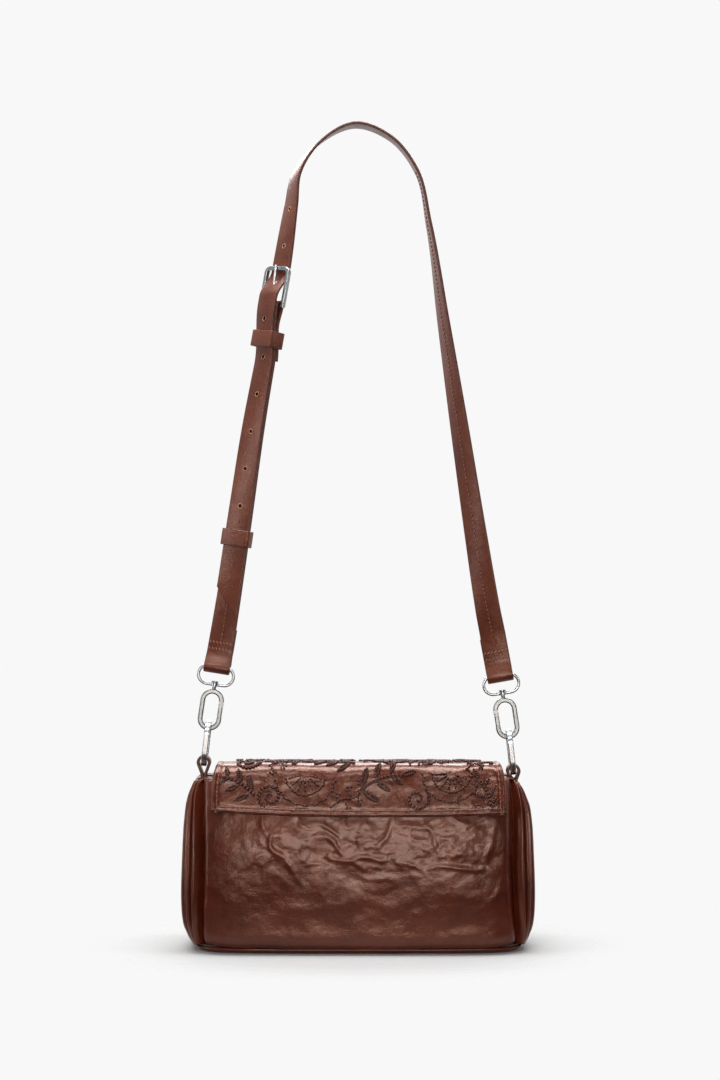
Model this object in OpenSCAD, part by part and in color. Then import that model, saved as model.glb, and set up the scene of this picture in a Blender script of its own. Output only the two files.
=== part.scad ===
// Baguette bag in crinkled leather with a flap, a top zip and an adjustable clip-on strap.
// Origin at the middle of the base, +Z up, +X along the bag, -Y is the side with the short flap end.

/* [Body] */
// Width of the body at its widest level
body_w = 270; // [220:1:320]
// Height of the body's panels
body_h = 130; // [110:1:160]
// Depth of the body at its deepest level
body_d = 79; // [64:1:100]
// Thickness of the leather panels
leather_t = 1.8; // [1.2:0.1:2.4]
// Thickness of the lining
lining_t = 0.8; // [0.5:0.1:1.2]
// Thickness of the base panel
base_t = 3; // [2:0.1:4]
// Thickness of the board that stiffens the base
board_t = 2; // [1:0.1:3]
// How far the left gusset's top dips in its middle
gusset_dip = 3.5; // [0:0.5:8]
// Width of the slip pocket
pocket_w = 120; // [80:1:150]
// Height of the slip pocket
pocket_h = 62; // [40:1:75]

/* [Flap] */
// Distance from the flap's side edges to the body's widest places
flap_side_room = 24; // [23:1:40]
// Thickness of the flap's leather
flap_t = 2.2; // [1.4:0.1:2.6]
// How far the short flap end hangs down the back
flap_end_drop = 25; // [20:1:45]
// Height of the flap's free edge at the front
flap_drop_z = 40; // [20:1:60]
// Radius of the free edge's two corners
flap_corner_r = 20; // [5:1:35]
// Free height between the body's top edge and the flap
flap_room = 8.4; // [7:0.1:14]
// Gap between the front panel and the flap's lining
flap_gap = 3.7; // [3.6:0.1:5]
// Height of the magnetic snap
snap_z = 62; // [48:1:90]
// Diameter of the snap's discs
snap_d = 14; // [10:0.5:18]

/* [Zip] */
// Distance from the chain's ends to the body's widest places
zip_end_room = 28; // [27:1:50]
// Width of each half of the zip's tape
tape_w = 13; // [9:0.5:16]
// Spacing of the zip's teeth
tooth_pitch = 3; // [2:0.25:5]
// Length of the slider
slider_l = 11; // [8:0.5:14]
// Length of the pull
pull_l = 17; // [12:0.5:22]

/* [Hardware] */
// Height of the left leather loop's top above the body's panels
loop_rise = 15.7; // [12:0.1:18]
// How much lower the right side's hardware hangs
right_drop = 6.7; // [0:0.1:10]
// Distance from each loop's middle to the body's widest place
loop_inset = 16.8; // [14:0.1:22]
// Width of the loops' strip
loop_w = 10; // [7:0.5:12]
// Thickness of the loops' strip
loop_t = 2.2; // [1.5:0.1:2.6]
// Outer length of the link rings
link_l = 35.5; // [30:0.5:40]
// Outer width of the link rings
link_w = 21; // [18:0.5:24]
// Thickness of the link rings' bar across the ring
link_t = 3.4; // [2.4:0.1:4]
// Width of the link rings' bar
link_bar_w = 4.2; // [3:0.1:5]
// Lean of the link rings
link_lean = 6.5; // [0:0.5:9]
// Outer length of the hooks
hook_l = 32; // [28:0.5:38]
// Outer width of the hooks
hook_w = 18; // [16:0.5:22]
// Thickness of the hooks' bar across the ring
hook_t = 3.7; // [3:0.1:4.2]
// Width of the hooks' bar
hook_bar_w = 4.4; // [3.6:0.1:5]
// Lean of the hooks and swivel rings
hook_lean = 8.5; // [4:0.5:11]
// Outer width of the swivel rings
ring_w = 29.3; // [27:0.1:34]
// Outer height of the swivel rings
ring_h = 16.5; // [15:0.1:20]
// Diameter of the swivel rings' wire
ring_wire = 2.4; // [2:0.1:3]
// Diameter of the hooks' swivel posts
post_d = 3; // [2:0.1:3.6]
// Diameter of the gates' hinge pins
pin_d = 1.4; // [1:0.1:1.8]

/* [Strap] */
// Width of the strap
strap_w = 20; // [14:0.5:22]
// Thickness of each strap layer
strap_t = 2.2; // [1.6:0.1:2.6]
// Diameter of the punched holes
hole_d = 3.6; // [2.5:0.1:4.5]
// Spacing of the punched holes
hole_pitch = 28.8; // [22:0.1:34]
// Number of punched holes
hole_count = 9; // [5:1:9]
// Height of the keepers along the strap
keeper_h = 14; // [8:0.5:18]
// Thickness of the keepers' leather
keeper_t = 1.5; // [1:0.1:2]
// Outer width of the buckle's frame
buckle_w = 28; // [27:0.5:32]
// Length of the buckle between its two bars
buckle_l = 28.5; // [26:0.5:32]
// Thickness of the buckle's bars
buckle_t = 3.2; // [2.4:0.1:3.6]
// Diameter of the buckle's prong
prong_d = 2.2; // [1.6:0.1:2.8]

/* [Hidden] */

// Colours, as the photographed object shows them
leather_colour = [0.36, 0.20, 0.16];
flap_colour = [0.42, 0.24, 0.19];
lining_colour = [0.55, 0.42, 0.33];
board_colour = [0.25, 0.22, 0.20];
metal_colour = [0.76, 0.74, 0.70];
tape_colour = [0.24, 0.13, 0.10];
strap_colour = [0.38, 0.23, 0.19];

// Clearances
seat_gap = 0.3;   // between a soft piece and what it lies on
loft_gap = 1;     // between pieces inside the body and its panels, whose facets differ
run_gap = 0.05;   // radial, between a pin or post and its hole
fold_gap = 1.4;   // between a swivel ring's wire and the strap folded round it
fold_sag = 0.7;   // how far the middle of that fold lies below the middle of the wire
link_gap = 1.1;   // between the hook's bar and the link ring that it hangs on

// Sizes that follow the body's
flap_w = body_w - 2 * flap_side_room;
flap_end_z = body_h - flap_end_drop;
zip_l = body_w - 2 * zip_end_room;
loop_x = body_w / 2 - loop_inset;
loop_top_z = body_h + loop_rise;

// Profile of the body: share of the height, share of the half width, share of the half depth
body_profile = [[0, 0.905, 0.835], [0.04, 0.940, 0.91], [0.11, 0.970, 0.962],
    [0.31, 1, 1], [0.6, 0.988, 0.965], [0.8, 0.970, 0.86], [0.92, 0.945, 0.76], [1, 0.905, 0.70]];
// Exponent of the body's plan curve: 2 is an ellipse, large values a rectangle
plan_power = 5;
plan_step = 7.5;
level_count = 11;

function profile_at(z, column) =
    lookup(z / body_h, [for (row = body_profile) [row[0], row[column]]]);
function half_w(z) = body_w / 2 * profile_at(z, 1);
function half_d(z) = body_d / 2 * profile_at(z, 2);
function curve(a, power) = sign(a) * pow(abs(a), 2 / power);
function body_point(angle, z, inset) = [
    (half_w(z) - inset) * curve(cos(angle), plan_power),
    (half_d(z) - inset) * curve(sin(angle), plan_power), z];
// Distance of the body's face from the middle plane at a place on the panel
function face_y(x, z, inset = 0) = (half_d(z) - inset)
    * pow(1 - pow(min(0.999, abs(x) / (half_w(z) - inset)), plan_power), 1 / plan_power);

// A closed sheet over a grid of points: outer[i][j] and inner[i][j]
module sheet(outer, inner) {
    n = len(outer);
    m = len(outer[0]);
    size = n * m;
    points = [for (side = [outer, inner]) for (row = side) for (p = row) p];
    function at(side, i, j) = side * size + i * m + j;
    faces = [
        for (i = [0:n - 2]) for (j = [0:m - 2]) for (f = [
            [at(0, i, j), at(0, i + 1, j), at(0, i + 1, j + 1)],
            [at(0, i, j), at(0, i + 1, j + 1), at(0, i, j + 1)],
            [at(1, i, j), at(1, i + 1, j + 1), at(1, i + 1, j)],
            [at(1, i, j), at(1, i, j + 1), at(1, i + 1, j + 1)]]) f,
        for (i = [0:n - 2]) for (f = [
            [at(0, i, 0), at(1, i, 0), at(1, i + 1, 0)],
            [at(0, i, 0), at(1, i + 1, 0), at(0, i + 1, 0)],
            [at(0, i, m - 1), at(1, i + 1, m - 1), at(1, i, m - 1)],
            [at(0, i, m - 1), at(0, i + 1, m - 1), at(1, i + 1, m - 1)]]) f,
        for (j = [0:m - 2]) for (f = [
            [at(0, 0, j), at(1, 0, j + 1), at(1, 0, j)],
            [at(0, 0, j), at(0, 0, j + 1), at(1, 0, j + 1)],
            [at(0, n - 1, j), at(1, n - 1, j), at(1, n - 1, j + 1)],
            [at(0, n - 1, j), at(1, n - 1, j + 1), at(0, n - 1, j + 1)]]) f];
    polyhedron(points, faces);
}

// One side of the body between two plan angles; its top edge dips in the middle
module body_side(from_angle, to_angle, dip = 0) {
    angles = [from_angle:plan_step:to_angle];
    middle = (from_angle + to_angle) / 2;
    rise = [for (a = angles) body_h - dip * cos(2 * (a - middle)) - base_t];
    shares = [for (k = [0:level_count]) k / level_count];
    n = len(rise) - 1;
    sheet([for (u = shares) [for (i = [0:n]) body_point(angles[0] + i * plan_step, base_t + rise[i] * u, 0)]],
        [for (u = shares) [for (i = [0:n])
            body_point(angles[0] + i * plan_step, base_t + rise[i] * u, leather_t)]]);
}
function drop_of(side) = side > 0 ? right_drop : 0;
function dip_of(side) = gusset_dip + 0.7 * drop_of(side);

module back_panel() { color(leather_colour) body_side(225, 315); }
module front_panel() { color(leather_colour) body_side(45, 135); }
module gusset_left() { color(leather_colour) body_side(135, 225, dip_of(-1)); }
module gusset_right() { color(leather_colour) body_side(-45, 45, dip_of(1)); }

// A closed disc lofted between two levels of the body
module body_disc(z_low, z_high, inset) {
    count = 360 / plan_step;
    points = [for (z = [z_low, z_high]) for (k = [0:count - 1]) body_point(k * plan_step, z, inset)];
    polyhedron(points, [
        [for (k = [0:count - 1]) k],
        [for (k = [0:count - 1]) 2 * count - 1 - k],
        for (k = [0:count - 1]) [k, count + k, count + (k + 1) % count],
        for (k = [0:count - 1]) [k, count + (k + 1) % count, (k + 1) % count]]);
}

module base_panel() { color(leather_colour) body_disc(0, base_t, 0); }
module base_board() { color(board_colour) body_disc(base_t, base_t + board_t, leather_t + loft_gap); }

// The lining is a cup that stands on the board
lining_levels = 6;
lining_step = 15;
lining_top = body_h - 9.5;
module lining() {
    floor_z = base_t + board_t;
    count = 360 / lining_step;
    outset = leather_t + loft_gap;
    span = lining_top - floor_z;
    outer = [for (k = [0:lining_levels]) floor_z + span * k / lining_levels];
    inner = [for (k = [0:lining_levels]) floor_z + lining_t + (span - lining_t) * k / lining_levels];
    n = lining_levels + 1;
    points = [
        for (z = outer) for (k = [0:count - 1]) body_point(k * lining_step, z, outset),
        for (z = inner) for (k = [0:count - 1]) body_point(k * lining_step, z, outset + lining_t)];
    function at(side, i, k) = side * n * count + i * count + k % count;
    color(lining_colour) polyhedron(points, [
        [for (k = [0:count - 1]) at(0, 0, k)],
        [for (k = [0:count - 1]) at(1, 0, count - 1 - k)],
        for (i = [0:lining_levels - 1]) for (k = [0:count - 1]) for (f = [
            [at(0, i, k), at(0, i + 1, k), at(0, i + 1, k + 1)],
            [at(0, i, k), at(0, i + 1, k + 1), at(0, i, k + 1)],
            [at(1, i, k), at(1, i + 1, k + 1), at(1, i + 1, k)],
            [at(1, i, k), at(1, i, k + 1), at(1, i + 1, k + 1)]]) f,
        for (k = [0:count - 1]) for (f = [
            [at(0, n - 1, k), at(1, n - 1, k), at(1, n - 1, k + 1)],
            [at(0, n - 1, k), at(1, n - 1, k + 1), at(0, n - 1, k + 1)]]) f]);
}

// The slip pocket is a patch sewn to the lining inside the front
pocket_z = base_t + board_t + lining_t + 22;
module slip_pocket() {
    xs = [for (k = [-6:6]) pocket_w / 2 * k / 6];
    zs = [for (k = [0:4]) pocket_z + pocket_h * k / 4];
    near = leather_t + lining_t + loft_gap + 2 * seat_gap;
    color(lining_colour) sheet(
        [for (z = zs) [for (x = xs) [-x, face_y(x, z, near), z]]],
        [for (z = zs) [for (x = xs) [-x, face_y(x, z, near + lining_t), z]]]);
}

// Zip, lying in the body's top opening
chain_half_slot = 0.5;
tooth_w = 2.6;
tooth_h = 1.5;
tape_t = 0.8;
facing_t = 1.4;
facing_half_slot = 6.4;
tape_z = body_h - facing_t - tape_t - 0.4;
facing_z = tape_z + tape_t;
facing_half_l = loop_x - 0.2;
module zip_facing(side) {
    // A strip between the zip and the panel, cut to the body's plan curve
    xs = [for (k = [-8:8]) facing_half_l * sin(90 * k / 8)];
    function edge(x, z) = face_y(x, z, leather_t + 2 * seat_gap);
    far = [for (x = xs) [x, side * max(facing_half_slot + 1, edge(x, facing_z))]];
    near = [for (k = [0:1]) [xs[k * 16], side * facing_half_slot]];
    color(leather_colour) translate([0, 0, facing_z]) linear_extrude(facing_t)
        polygon([near[0], for (p = far) p, near[1]]);
}
module zip_facing_back() { zip_facing(-1); }
module zip_facing_front() { zip_facing(1); }

module zip_tape(side) {
    color(tape_colour) translate([-zip_l / 2 - 4, side > 0 ? 1.4 : -1.4 - tape_w, tape_z])
        cube([zip_l + 8, tape_w, tape_t]);
}
module zip_tape_back() { zip_tape(-1); }
module zip_tape_front() { zip_tape(1); }

// One side's teeth: a comb on a cord along the tape's edge
module zip_teeth(side) {
    count = floor(zip_l / tooth_pitch);
    start = -zip_l / 2;
    root = chain_half_slot + tooth_w;
    comb = [for (k = [0:count - 1]) for (p = [
        [start + k * tooth_pitch, root - 0.7],
        [start + k * tooth_pitch, chain_half_slot],
        [start + (k + 0.62) * tooth_pitch, chain_half_slot],
        [start + (k + 0.62) * tooth_pitch, root - 0.7]]) p];
    color(metal_colour) translate([0, 0, tape_z + tape_t]) linear_extrude(tooth_h) scale([1, side])
        polygon([for (p = comb) p, [start + count * tooth_pitch, root - 0.7],
            [start + count * tooth_pitch, root], [start, root]]);
}
module zip_teeth_back() { zip_teeth(-1); }
module zip_teeth_front() { zip_teeth(1); }

stop_l = 3;
stop_w = 7;
stop_t = 2;
module zip_stops() {
    color(metal_colour) for (end = [-1, 1])
        translate([end * (zip_l / 2 + stop_l / 2 + 0.2), 0, tape_z + tape_t + stop_t / 2])
            cube([stop_l, stop_w, stop_t], center = true);
}

// The slider stands at the closed end, near the right gusset
slider_x = zip_l / 2 - slider_l / 2 - 1;
slider_w = 9;
plate_t = 1.1;
slider_top_z = tape_z + tape_t + tooth_h + 0.3;
bridge_l = 7;
bridge_w = 1.6;
bridge_h = 2.9;
pull_bar_d = 1.2;
pull_z = slider_top_z + plate_t + pull_bar_d / 2 + 0.15;
module zip_slider() {
    neck_w = 2 * chain_half_slot - 0.5;
    under_z = tape_z - 0.3 - plate_t;
    color(metal_colour) translate([slider_x, 0, 0]) difference() {
        union() {
            translate([-slider_l / 2, -slider_w / 2, slider_top_z]) cube([slider_l, slider_w, plate_t]);
            translate([-slider_l / 2, -slider_w / 2, under_z]) cube([slider_l, slider_w, plate_t]);
            translate([-2.5, -neck_w / 2, under_z]) cube([5, neck_w, slider_top_z - under_z + 0.5]);
            translate([-bridge_l / 2, -bridge_w / 2, slider_top_z])
                cube([bridge_l, bridge_w, plate_t + bridge_h]);
        }
        translate([-bridge_l / 2 + 1.3, -bridge_w, slider_top_z + plate_t])
            cube([bridge_l - 2.6, 2 * bridge_w, bridge_h - 1]);
    }
}
// The pull lies flat on the zip, with its bar under the slider's bridge
pull_w = 6;
module zip_pull() {
    eye_w = bridge_w + 1;
    eye_l = 4.6;
    color(metal_colour) translate([slider_x, 0, pull_z]) {
        translate([0, pull_w / 2, 0]) rotate([90, 0, 0]) cylinder(h = pull_w, d = pull_bar_d, $fn = 32);
        difference() {
            translate([-pull_l, -pull_w / 2, -pull_bar_d / 2]) cube([pull_l, pull_w, pull_bar_d]);
            translate([-eye_l, -eye_w / 2, -pull_bar_d]) cube([eye_l, eye_w, 2 * pull_bar_d]);
            translate([-pull_l + 3.2, 0, -pull_bar_d]) cylinder(h = 2 * pull_bar_d, d = 2.4, $fn = 32);
        }
    }
}

// Flap: plates that are bent along X, drawn as thick lines in the YZ plane
flap_in_z = body_h + flap_room;
flap_crown_z = flap_in_z + lining_t + flap_t / 2;
shoulder_r = 6;
axis_z = flap_crown_z - shoulder_r - 0.5;
back_axis = [-(half_d(body_h) + seat_gap + flap_t / 2), axis_z];
front_axis = [half_d(body_h) + flap_gap + lining_t + flap_t / 2, axis_z];
knuckle_gap = 0.3;
function unit2(v) = v / norm(v);
// Outline of a line of the given thickness, shifted to its left by off
function thick_line(line, t, off = 0) = let(
    n = len(line),
    side = [for (i = [0:n - 1])
        let(d = unit2(line[min(n - 1, i + 1)] - line[max(0, i - 1)])) [-d[1], d[0]]])
    [for (i = [0:n - 1]) line[i] + side[i] * (off + t / 2),
        for (i = [n - 1:-1:0]) line[i] + side[i] * (off - t / 2)];
// Points of the half circle that rounds such a line's start, to close its outline
function round_start(line, t, steps = 8) = let(d = unit2(line[1] - line[0]), side = [-d[1], d[0]])
    [for (k = [1:steps - 1]) let(a = 180 * k / steps) line[0] - t / 2 * (side * cos(a) + d * sin(a))];
function arc_line(centre, r, a0, a1, steps) =
    [for (k = [0:steps]) centre + r * [cos(a0 + (a1 - a0) * k / steps), sin(a0 + (a1 - a0) * k / steps)]];
top_line = [
    back_axis,
    for (p = arc_line([back_axis[0] + shoulder_r, flap_crown_z - shoulder_r], shoulder_r, 180, 90, 6)) p,
    [0, flap_crown_z + 0.4],
    for (p = arc_line([front_axis[0] - shoulder_r, flap_crown_z - shoulder_r], shoulder_r, 90, 0, 6)) p,
    front_axis];
drop_steps = 9;
drop_line = [front_axis, for (k = [0:drop_steps])
    let(z = body_h - 2 + (flap_drop_z - body_h + 2) * k / drop_steps)
    [half_d(z) + flap_gap + lining_t + flap_t / 2, z]];
back_line = [for (k = [0:3])
    let(z = flap_end_z + (body_h - flap_end_z) * k / 3) [-(half_d(z) + seat_gap + flap_t / 2), z],
    [back_axis[0], back_axis[1]]];
// Stands a drawing in the YZ plane and gives it the width w along X
module along_x(w) { translate([-w / 2, 0, 0]) rotate([90, 0, 90]) linear_extrude(w) children(); }
module at_axis(axis, r) { translate(axis) circle(r, $fn = 32); }

module flap_back() {
    color(flap_colour) along_x(flap_w) difference() {
        polygon(thick_line(back_line, flap_t));
        at_axis(back_axis, flap_t / 2 + knuckle_gap);
    }
}
module flap_top() {
    color(flap_colour) along_x(flap_w) difference() {
        polygon(concat(thick_line(top_line, flap_t), round_start(top_line, flap_t)));
        at_axis(front_axis, flap_t / 2 + knuckle_gap);
    }
}
lining_cut = flap_t / 2 + lining_t + 1;
lining_w = flap_w - 8;
module flap_lining_top() {
    color(lining_colour) along_x(lining_w) difference() {
        polygon(thick_line(top_line, lining_t, -(flap_t + lining_t) / 2));
        at_axis(back_axis, lining_cut);
        at_axis(front_axis, lining_cut);
    }
}
// The free edge's rounded corners, as a sheet in the XZ plane that trims the drop
module drop_outline(w, r, low) {
    translate([0, body_d, 0]) rotate([90, 0, 0]) linear_extrude(2 * body_d) union() {
        translate([-w / 2, low + r]) square([w, body_h + 40 - low]);
        translate([-w / 2 + r, low]) square([w - 2 * r, 2 * r]);
        for (side = [-1, 1]) translate([side * (w / 2 - r), low + r]) circle(r, $fn = 64);
    }
}
module flap_front() {
    color(flap_colour) intersection() {
        along_x(flap_w) polygon(concat(thick_line(drop_line, flap_t), round_start(drop_line, flap_t)));
        drop_outline(flap_w, flap_corner_r, flap_drop_z + 0.1);
    }
}
module flap_lining_front() {
    color(lining_colour) intersection() {
        along_x(lining_w) difference() {
            polygon(thick_line(drop_line, lining_t, -(flap_t + lining_t) / 2));
            at_axis(front_axis, lining_cut);
        }
        drop_outline(lining_w, flap_corner_r, flap_drop_z + 4);
    }
}

// Magnetic snap: a socket disc on the front panel and a stud disc on the flap's lining
snap_t = 1.6;
stud_d = 4;
stud_l = 1.1;
socket_y = half_d(snap_z - snap_d / 2) + 0.1;
lining_face_y = half_d(snap_z + snap_d / 2) + flap_gap - 0.1;
stud_t = lining_face_y - socket_y - snap_t - 0.3;
module snap_socket() {
    color(metal_colour) translate([0, socket_y + snap_t, snap_z]) rotate([90, 0, 0]) difference() {
        cylinder(h = snap_t, d = snap_d, $fn = 64);
        translate([0, 0, -0.1]) cylinder(h = stud_l + 0.4, d = stud_d + 3, $fn = 48);
    }
}
module snap_stud() {
    color(metal_colour) translate([0, lining_face_y, snap_z]) rotate([90, 0, 0]) union() {
        cylinder(h = stud_t, d = snap_d, $fn = 64);
        cylinder(h = stud_t + stud_l, d = stud_d, $fn = 48);
    }
}

// Rings: a bar with a rounded section, bent round an oval in the XY plane
module bar_section(t, w, r) {
    square([t - 2 * r, w], center = true);
    square([t, w - 2 * r], center = true);
    for (x = [-1, 1]) for (y = [-1, 1])
        translate([x * (t / 2 - r), y * (w / 2 - r)]) circle(r, $fn = 24);
}
module oval_ring(outer_w, outer_l, t, w, r) {
    mid_r = (outer_w - t) / 2;
    straight = outer_l - outer_w;
    for (end = [0, 1]) rotate([0, 0, 180 * end]) {
        translate([0, straight / 2, 0]) rotate_extrude(angle = 180, $fn = 96)
            translate([mid_r, 0]) bar_section(t, w, r);
        translate([mid_r, straight / 2, 0]) rotate([90, 0, 0]) linear_extrude(straight)
            bar_section(t, w, r);
    }
}

// Places on each side: side is -1 on the left and 1 on the right
link_slack = 3;
link_low_z = loop_top_z - loop_t - link_slack - link_t;
link_mid_z = link_low_z + link_l / 2;
link_x = loop_x - (link_l - link_t) / 2 * sin(link_lean);
// Centre of the link ring's lower and upper bends
function link_bend(side, up) = let(d = up * (link_l - link_w) / 2)
    [side * (link_x - d * sin(link_lean)), 0, link_mid_z - drop_of(side) + d * cos(link_lean)];
hook_bar_z = link_low_z + link_l - link_t - link_gap - hook_t / 2;
hook_x = link_x - (link_l / 2 - link_t - link_gap - hook_t / 2) * sin(link_lean);

// Leather loop, a strip folded to a drop shape, with its two ends sewn on the gusset's top
module loop(side) {
    top_z = loop_top_z - drop_of(side);
    foot_z = body_h - dip_of(side) + 0.35;
    outer_r = 5.4;
    mid_r = outer_r - loop_t / 2;
    bend_z = top_z - outer_r;
    tip_z = max(foot_z + loop_t / 2, bend_z - 9);
    round_line = arc_line([0, bend_z], mid_r, -25, 205, 14);
    line = [[loop_t / 2 + 0.2, tip_z], for (p = round_line) p, [-loop_t / 2 - 0.2, tip_z]];
    color(leather_colour) translate([side * loop_x, loop_w / 2, 0]) rotate([90, 0, 0]) {
        linear_extrude(loop_w) polygon(thick_line(line, loop_t));
        linear_extrude(loop_w) translate([-outer_r, foot_z - 0.3])
            square([2 * outer_r, tip_z - foot_z + 0.6]);
    }
}
module loop_left() { loop(-1); }
module loop_right() { loop(1); }

module link_ring(side) {
    color(metal_colour) translate([side * link_x, 0, link_mid_z - drop_of(side)])
        rotate([0, -side * link_lean, 0]) rotate([90, 0, 90])
            oval_ring(link_w, link_l, link_t, link_bar_w, 0.8);
}
module link_ring_left() { link_ring(-1); }
module link_ring_right() { link_ring(1); }

// Frame of a hook: origin in the middle of its lower bar, +Z up the hook, +X to the gate's side
module hook_frame(side) {
    translate([side * hook_x, 0, hook_bar_z - drop_of(side)]) rotate([0, -side * hook_lean, 0])
        mirror([side > 0 ? 1 : 0, 0, 0]) children();
}
hook_mid_z = (hook_l - hook_t) / 2;
hook_side_x = (hook_w - hook_t) / 2;
gate_pin_z = hook_mid_z + 6.2;
gate_low_z = hook_mid_z - 5.5;
ear_t = 0.95;
ear_low_z = gate_pin_z - 2.2;
tongue_half = hook_bar_w / 2 - ear_t - 0.15;
ring_gap = 2.2;
ring_low_z = hook_l - hook_t / 2 + ring_gap;
boss_h = 2.6;
head_h = 1.2;
module hook(side) {
    color(metal_colour) hook_frame(side) {
        difference() {
            union() {
                translate([0, 0, hook_mid_z]) rotate([90, 0, 0])
                    oval_ring(hook_w, hook_l, hook_t, hook_bar_w, 1);
                translate([hook_side_x, hook_bar_w / 2, gate_pin_z]) rotate([90, 0, 0])
                    cylinder(h = hook_bar_w, d = hook_t, $fn = 48);
            }
            translate([hook_side_x - hook_t, -hook_bar_w, gate_low_z - 0.25])
                cube([2 * hook_t, 2 * hook_bar_w, ear_low_z - gate_low_z + 0.25]);
            translate([hook_side_x - hook_t, -tongue_half - 0.15, ear_low_z - 1])
                cube([2 * hook_t, 2 * tongue_half + 0.3, gate_pin_z - ear_low_z + 1 + hook_t / 2]);
            translate([hook_side_x, hook_bar_w, gate_pin_z]) rotate([90, 0, 0])
                cylinder(h = 2 * hook_bar_w, d = pin_d, $fn = 32);
        }
        translate([0, 0, hook_l - hook_t - 0.2])
            cylinder(h = ring_low_z + boss_h + 0.2 - hook_l + hook_t + 0.3, d = post_d, $fn = 48);
        translate([0, 0, ring_low_z + boss_h + 0.15]) cylinder(h = head_h, d = post_d + 2, $fn = 48);
    }
}
module hook_left() { hook(-1); }
module hook_right() { hook(1); }

module gate(side) {
    color(metal_colour) hook_frame(side) difference() {
        union() {
            translate([hook_side_x, 0, gate_low_z]) linear_extrude(gate_pin_z - 3 - gate_low_z)
                bar_section(hook_t - 0.3, hook_bar_w - 0.2, 0.8);
            translate([hook_side_x - hook_t / 2 + 0.25, -tongue_half, gate_pin_z - 3.2])
                cube([hook_t - 0.5, 2 * tongue_half, 3.2]);
            translate([hook_side_x, tongue_half, gate_pin_z]) rotate([90, 0, 0])
                cylinder(h = 2 * tongue_half, d = hook_t - 0.5, $fn = 48);
        }
        translate([hook_side_x, hook_bar_w, gate_pin_z]) rotate([90, 0, 0])
            cylinder(h = 2 * hook_bar_w, d = pin_d + 2 * run_gap, $fn = 32);
    }
}
module gate_left() { gate(-1); }
module gate_right() { gate(1); }

module gate_pin(side) {
    color(metal_colour) hook_frame(side) translate([hook_side_x, hook_bar_w / 2 + 0.2, gate_pin_z])
        rotate([90, 0, 0]) cylinder(h = hook_bar_w + 0.4, d = pin_d, $fn = 32);
}
module gate_pin_left() { gate_pin(-1); }
module gate_pin_right() { gate_pin(1); }

// Swivel ring: an oval of round wire that holds the strap, with a boss for the hook's post
module swivel_ring(side) {
    color(metal_colour) hook_frame(side) difference() {
        union() {
            translate([0, 0, ring_low_z + ring_h / 2]) rotate([90, 0, 0]) rotate([0, 0, 90])
                for (end = [0, 1]) rotate([0, 0, 180 * end]) {
                    translate([0, (ring_w - ring_h) / 2, 0]) rotate_extrude(angle = 180, $fn = 96)
                        translate([(ring_h - ring_wire) / 2, 0]) circle(d = ring_wire, $fn = 32);
                    translate([(ring_h - ring_wire) / 2, (ring_w - ring_h) / 2, 0]) rotate([90, 0, 0])
                        cylinder(h = ring_w - ring_h, d = ring_wire, $fn = 32);
                }
            translate([0, 0, ring_low_z - 0.1]) cylinder(h = boss_h, d = post_d + 2.6, $fn = 48);
        }
        translate([0, 0, ring_low_z - 2]) cylinder(h = boss_h + 4, d = post_d + 2 * run_gap, $fn = 48);
    }
}
module swivel_ring_left() { swivel_ring(-1); }
module swivel_ring_right() { swivel_ring(1); }

// Middle of the swivel ring's upper wire; the strap's fold turns a little below it
ring_wire_z = ring_low_z + ring_h - ring_wire / 2;
fold_z = ring_wire_z - fold_sag;
function strap_foot(side) = [side * (hook_x - fold_z * sin(hook_lean)),
    hook_bar_z - drop_of(side) + fold_z * cos(hook_lean)];

// The strap's middle line in the XZ plane between its feet: share of the feet's distance from the
// middle plane, height above the body's panels, and the turn of its face towards -Y in degrees
strap_line = [
    [-0.934, 128, 72], [-0.835, 200, 62], [-0.7444, 266, 52], [-0.6473, 325, 42], [-0.5271, 400, 42],
    [-0.4762, 436, 30], [-0.4392, 460, 20], [-0.2913, 482.5, 8], [-0.0185, 497.5, 0], [0.2312, 487, 0],
    [0.4115, 462, -1], [0.4966, 422, -6], [0.5992, 348, -21], [0.7139, 266, -38], [0.8304, 183, -53],
    [0.9025, 134, -65]];
foot_turn = 87;
foot_left = strap_foot(-1);
foot_right = strap_foot(1);
route = [
    [foot_left[0], foot_left[1], foot_turn],
    for (p = strap_line) [p[0] * foot_right[0], body_h + p[1], p[2]],
    [foot_right[0], foot_right[1], -foot_turn]];
route_n = len(route);
function flat(p) = [p[0], p[1]];
function chord(i) = norm(flat(route[i + 1]) - flat(route[i]));
function sum_to(list, k) = k <= 0 ? 0 : list[k - 1] + sum_to(list, k - 1);
chords = [for (i = [0:route_n - 2]) chord(i)];
knots = [for (i = [0:route_n - 1]) sum_to(chords, i)];
route_l = knots[route_n - 1];
// Slope of the route at a knot, for a smooth curve through all points
function knot_slope(i) = i == 0 ? (route[1] - route[0]) / chords[0]
    : i == route_n - 1 ? (route[i] - route[i - 1]) / chords[i - 1]
    : ((route[i + 1] - route[i]) / chords[i] * chords[i - 1]
        + (route[i] - route[i - 1]) / chords[i - 1] * chords[i]) / (chords[i] + chords[i - 1]);
slopes = [for (i = [0:route_n - 1]) knot_slope(i)];
function segment_at(s) = min(route_n - 2, max(0, len([for (k = knots) if (k <= s) k]) - 1));
function route_at(s) = let(i = segment_at(s), h = chords[i], u = (s - knots[i]) / h)
    u < 0 ? route[0] + slopes[0] * s : u > 1 ? route[route_n - 1] + slopes[route_n - 1] * (s - route_l)
    : route[i] * (2 * u * u * u - 3 * u * u + 1) + slopes[i] * h * (u * u * u - 2 * u * u + u)
        + route[i + 1] * (3 * u * u - 2 * u * u * u) + slopes[i + 1] * h * (u * u * u - u * u);
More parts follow.
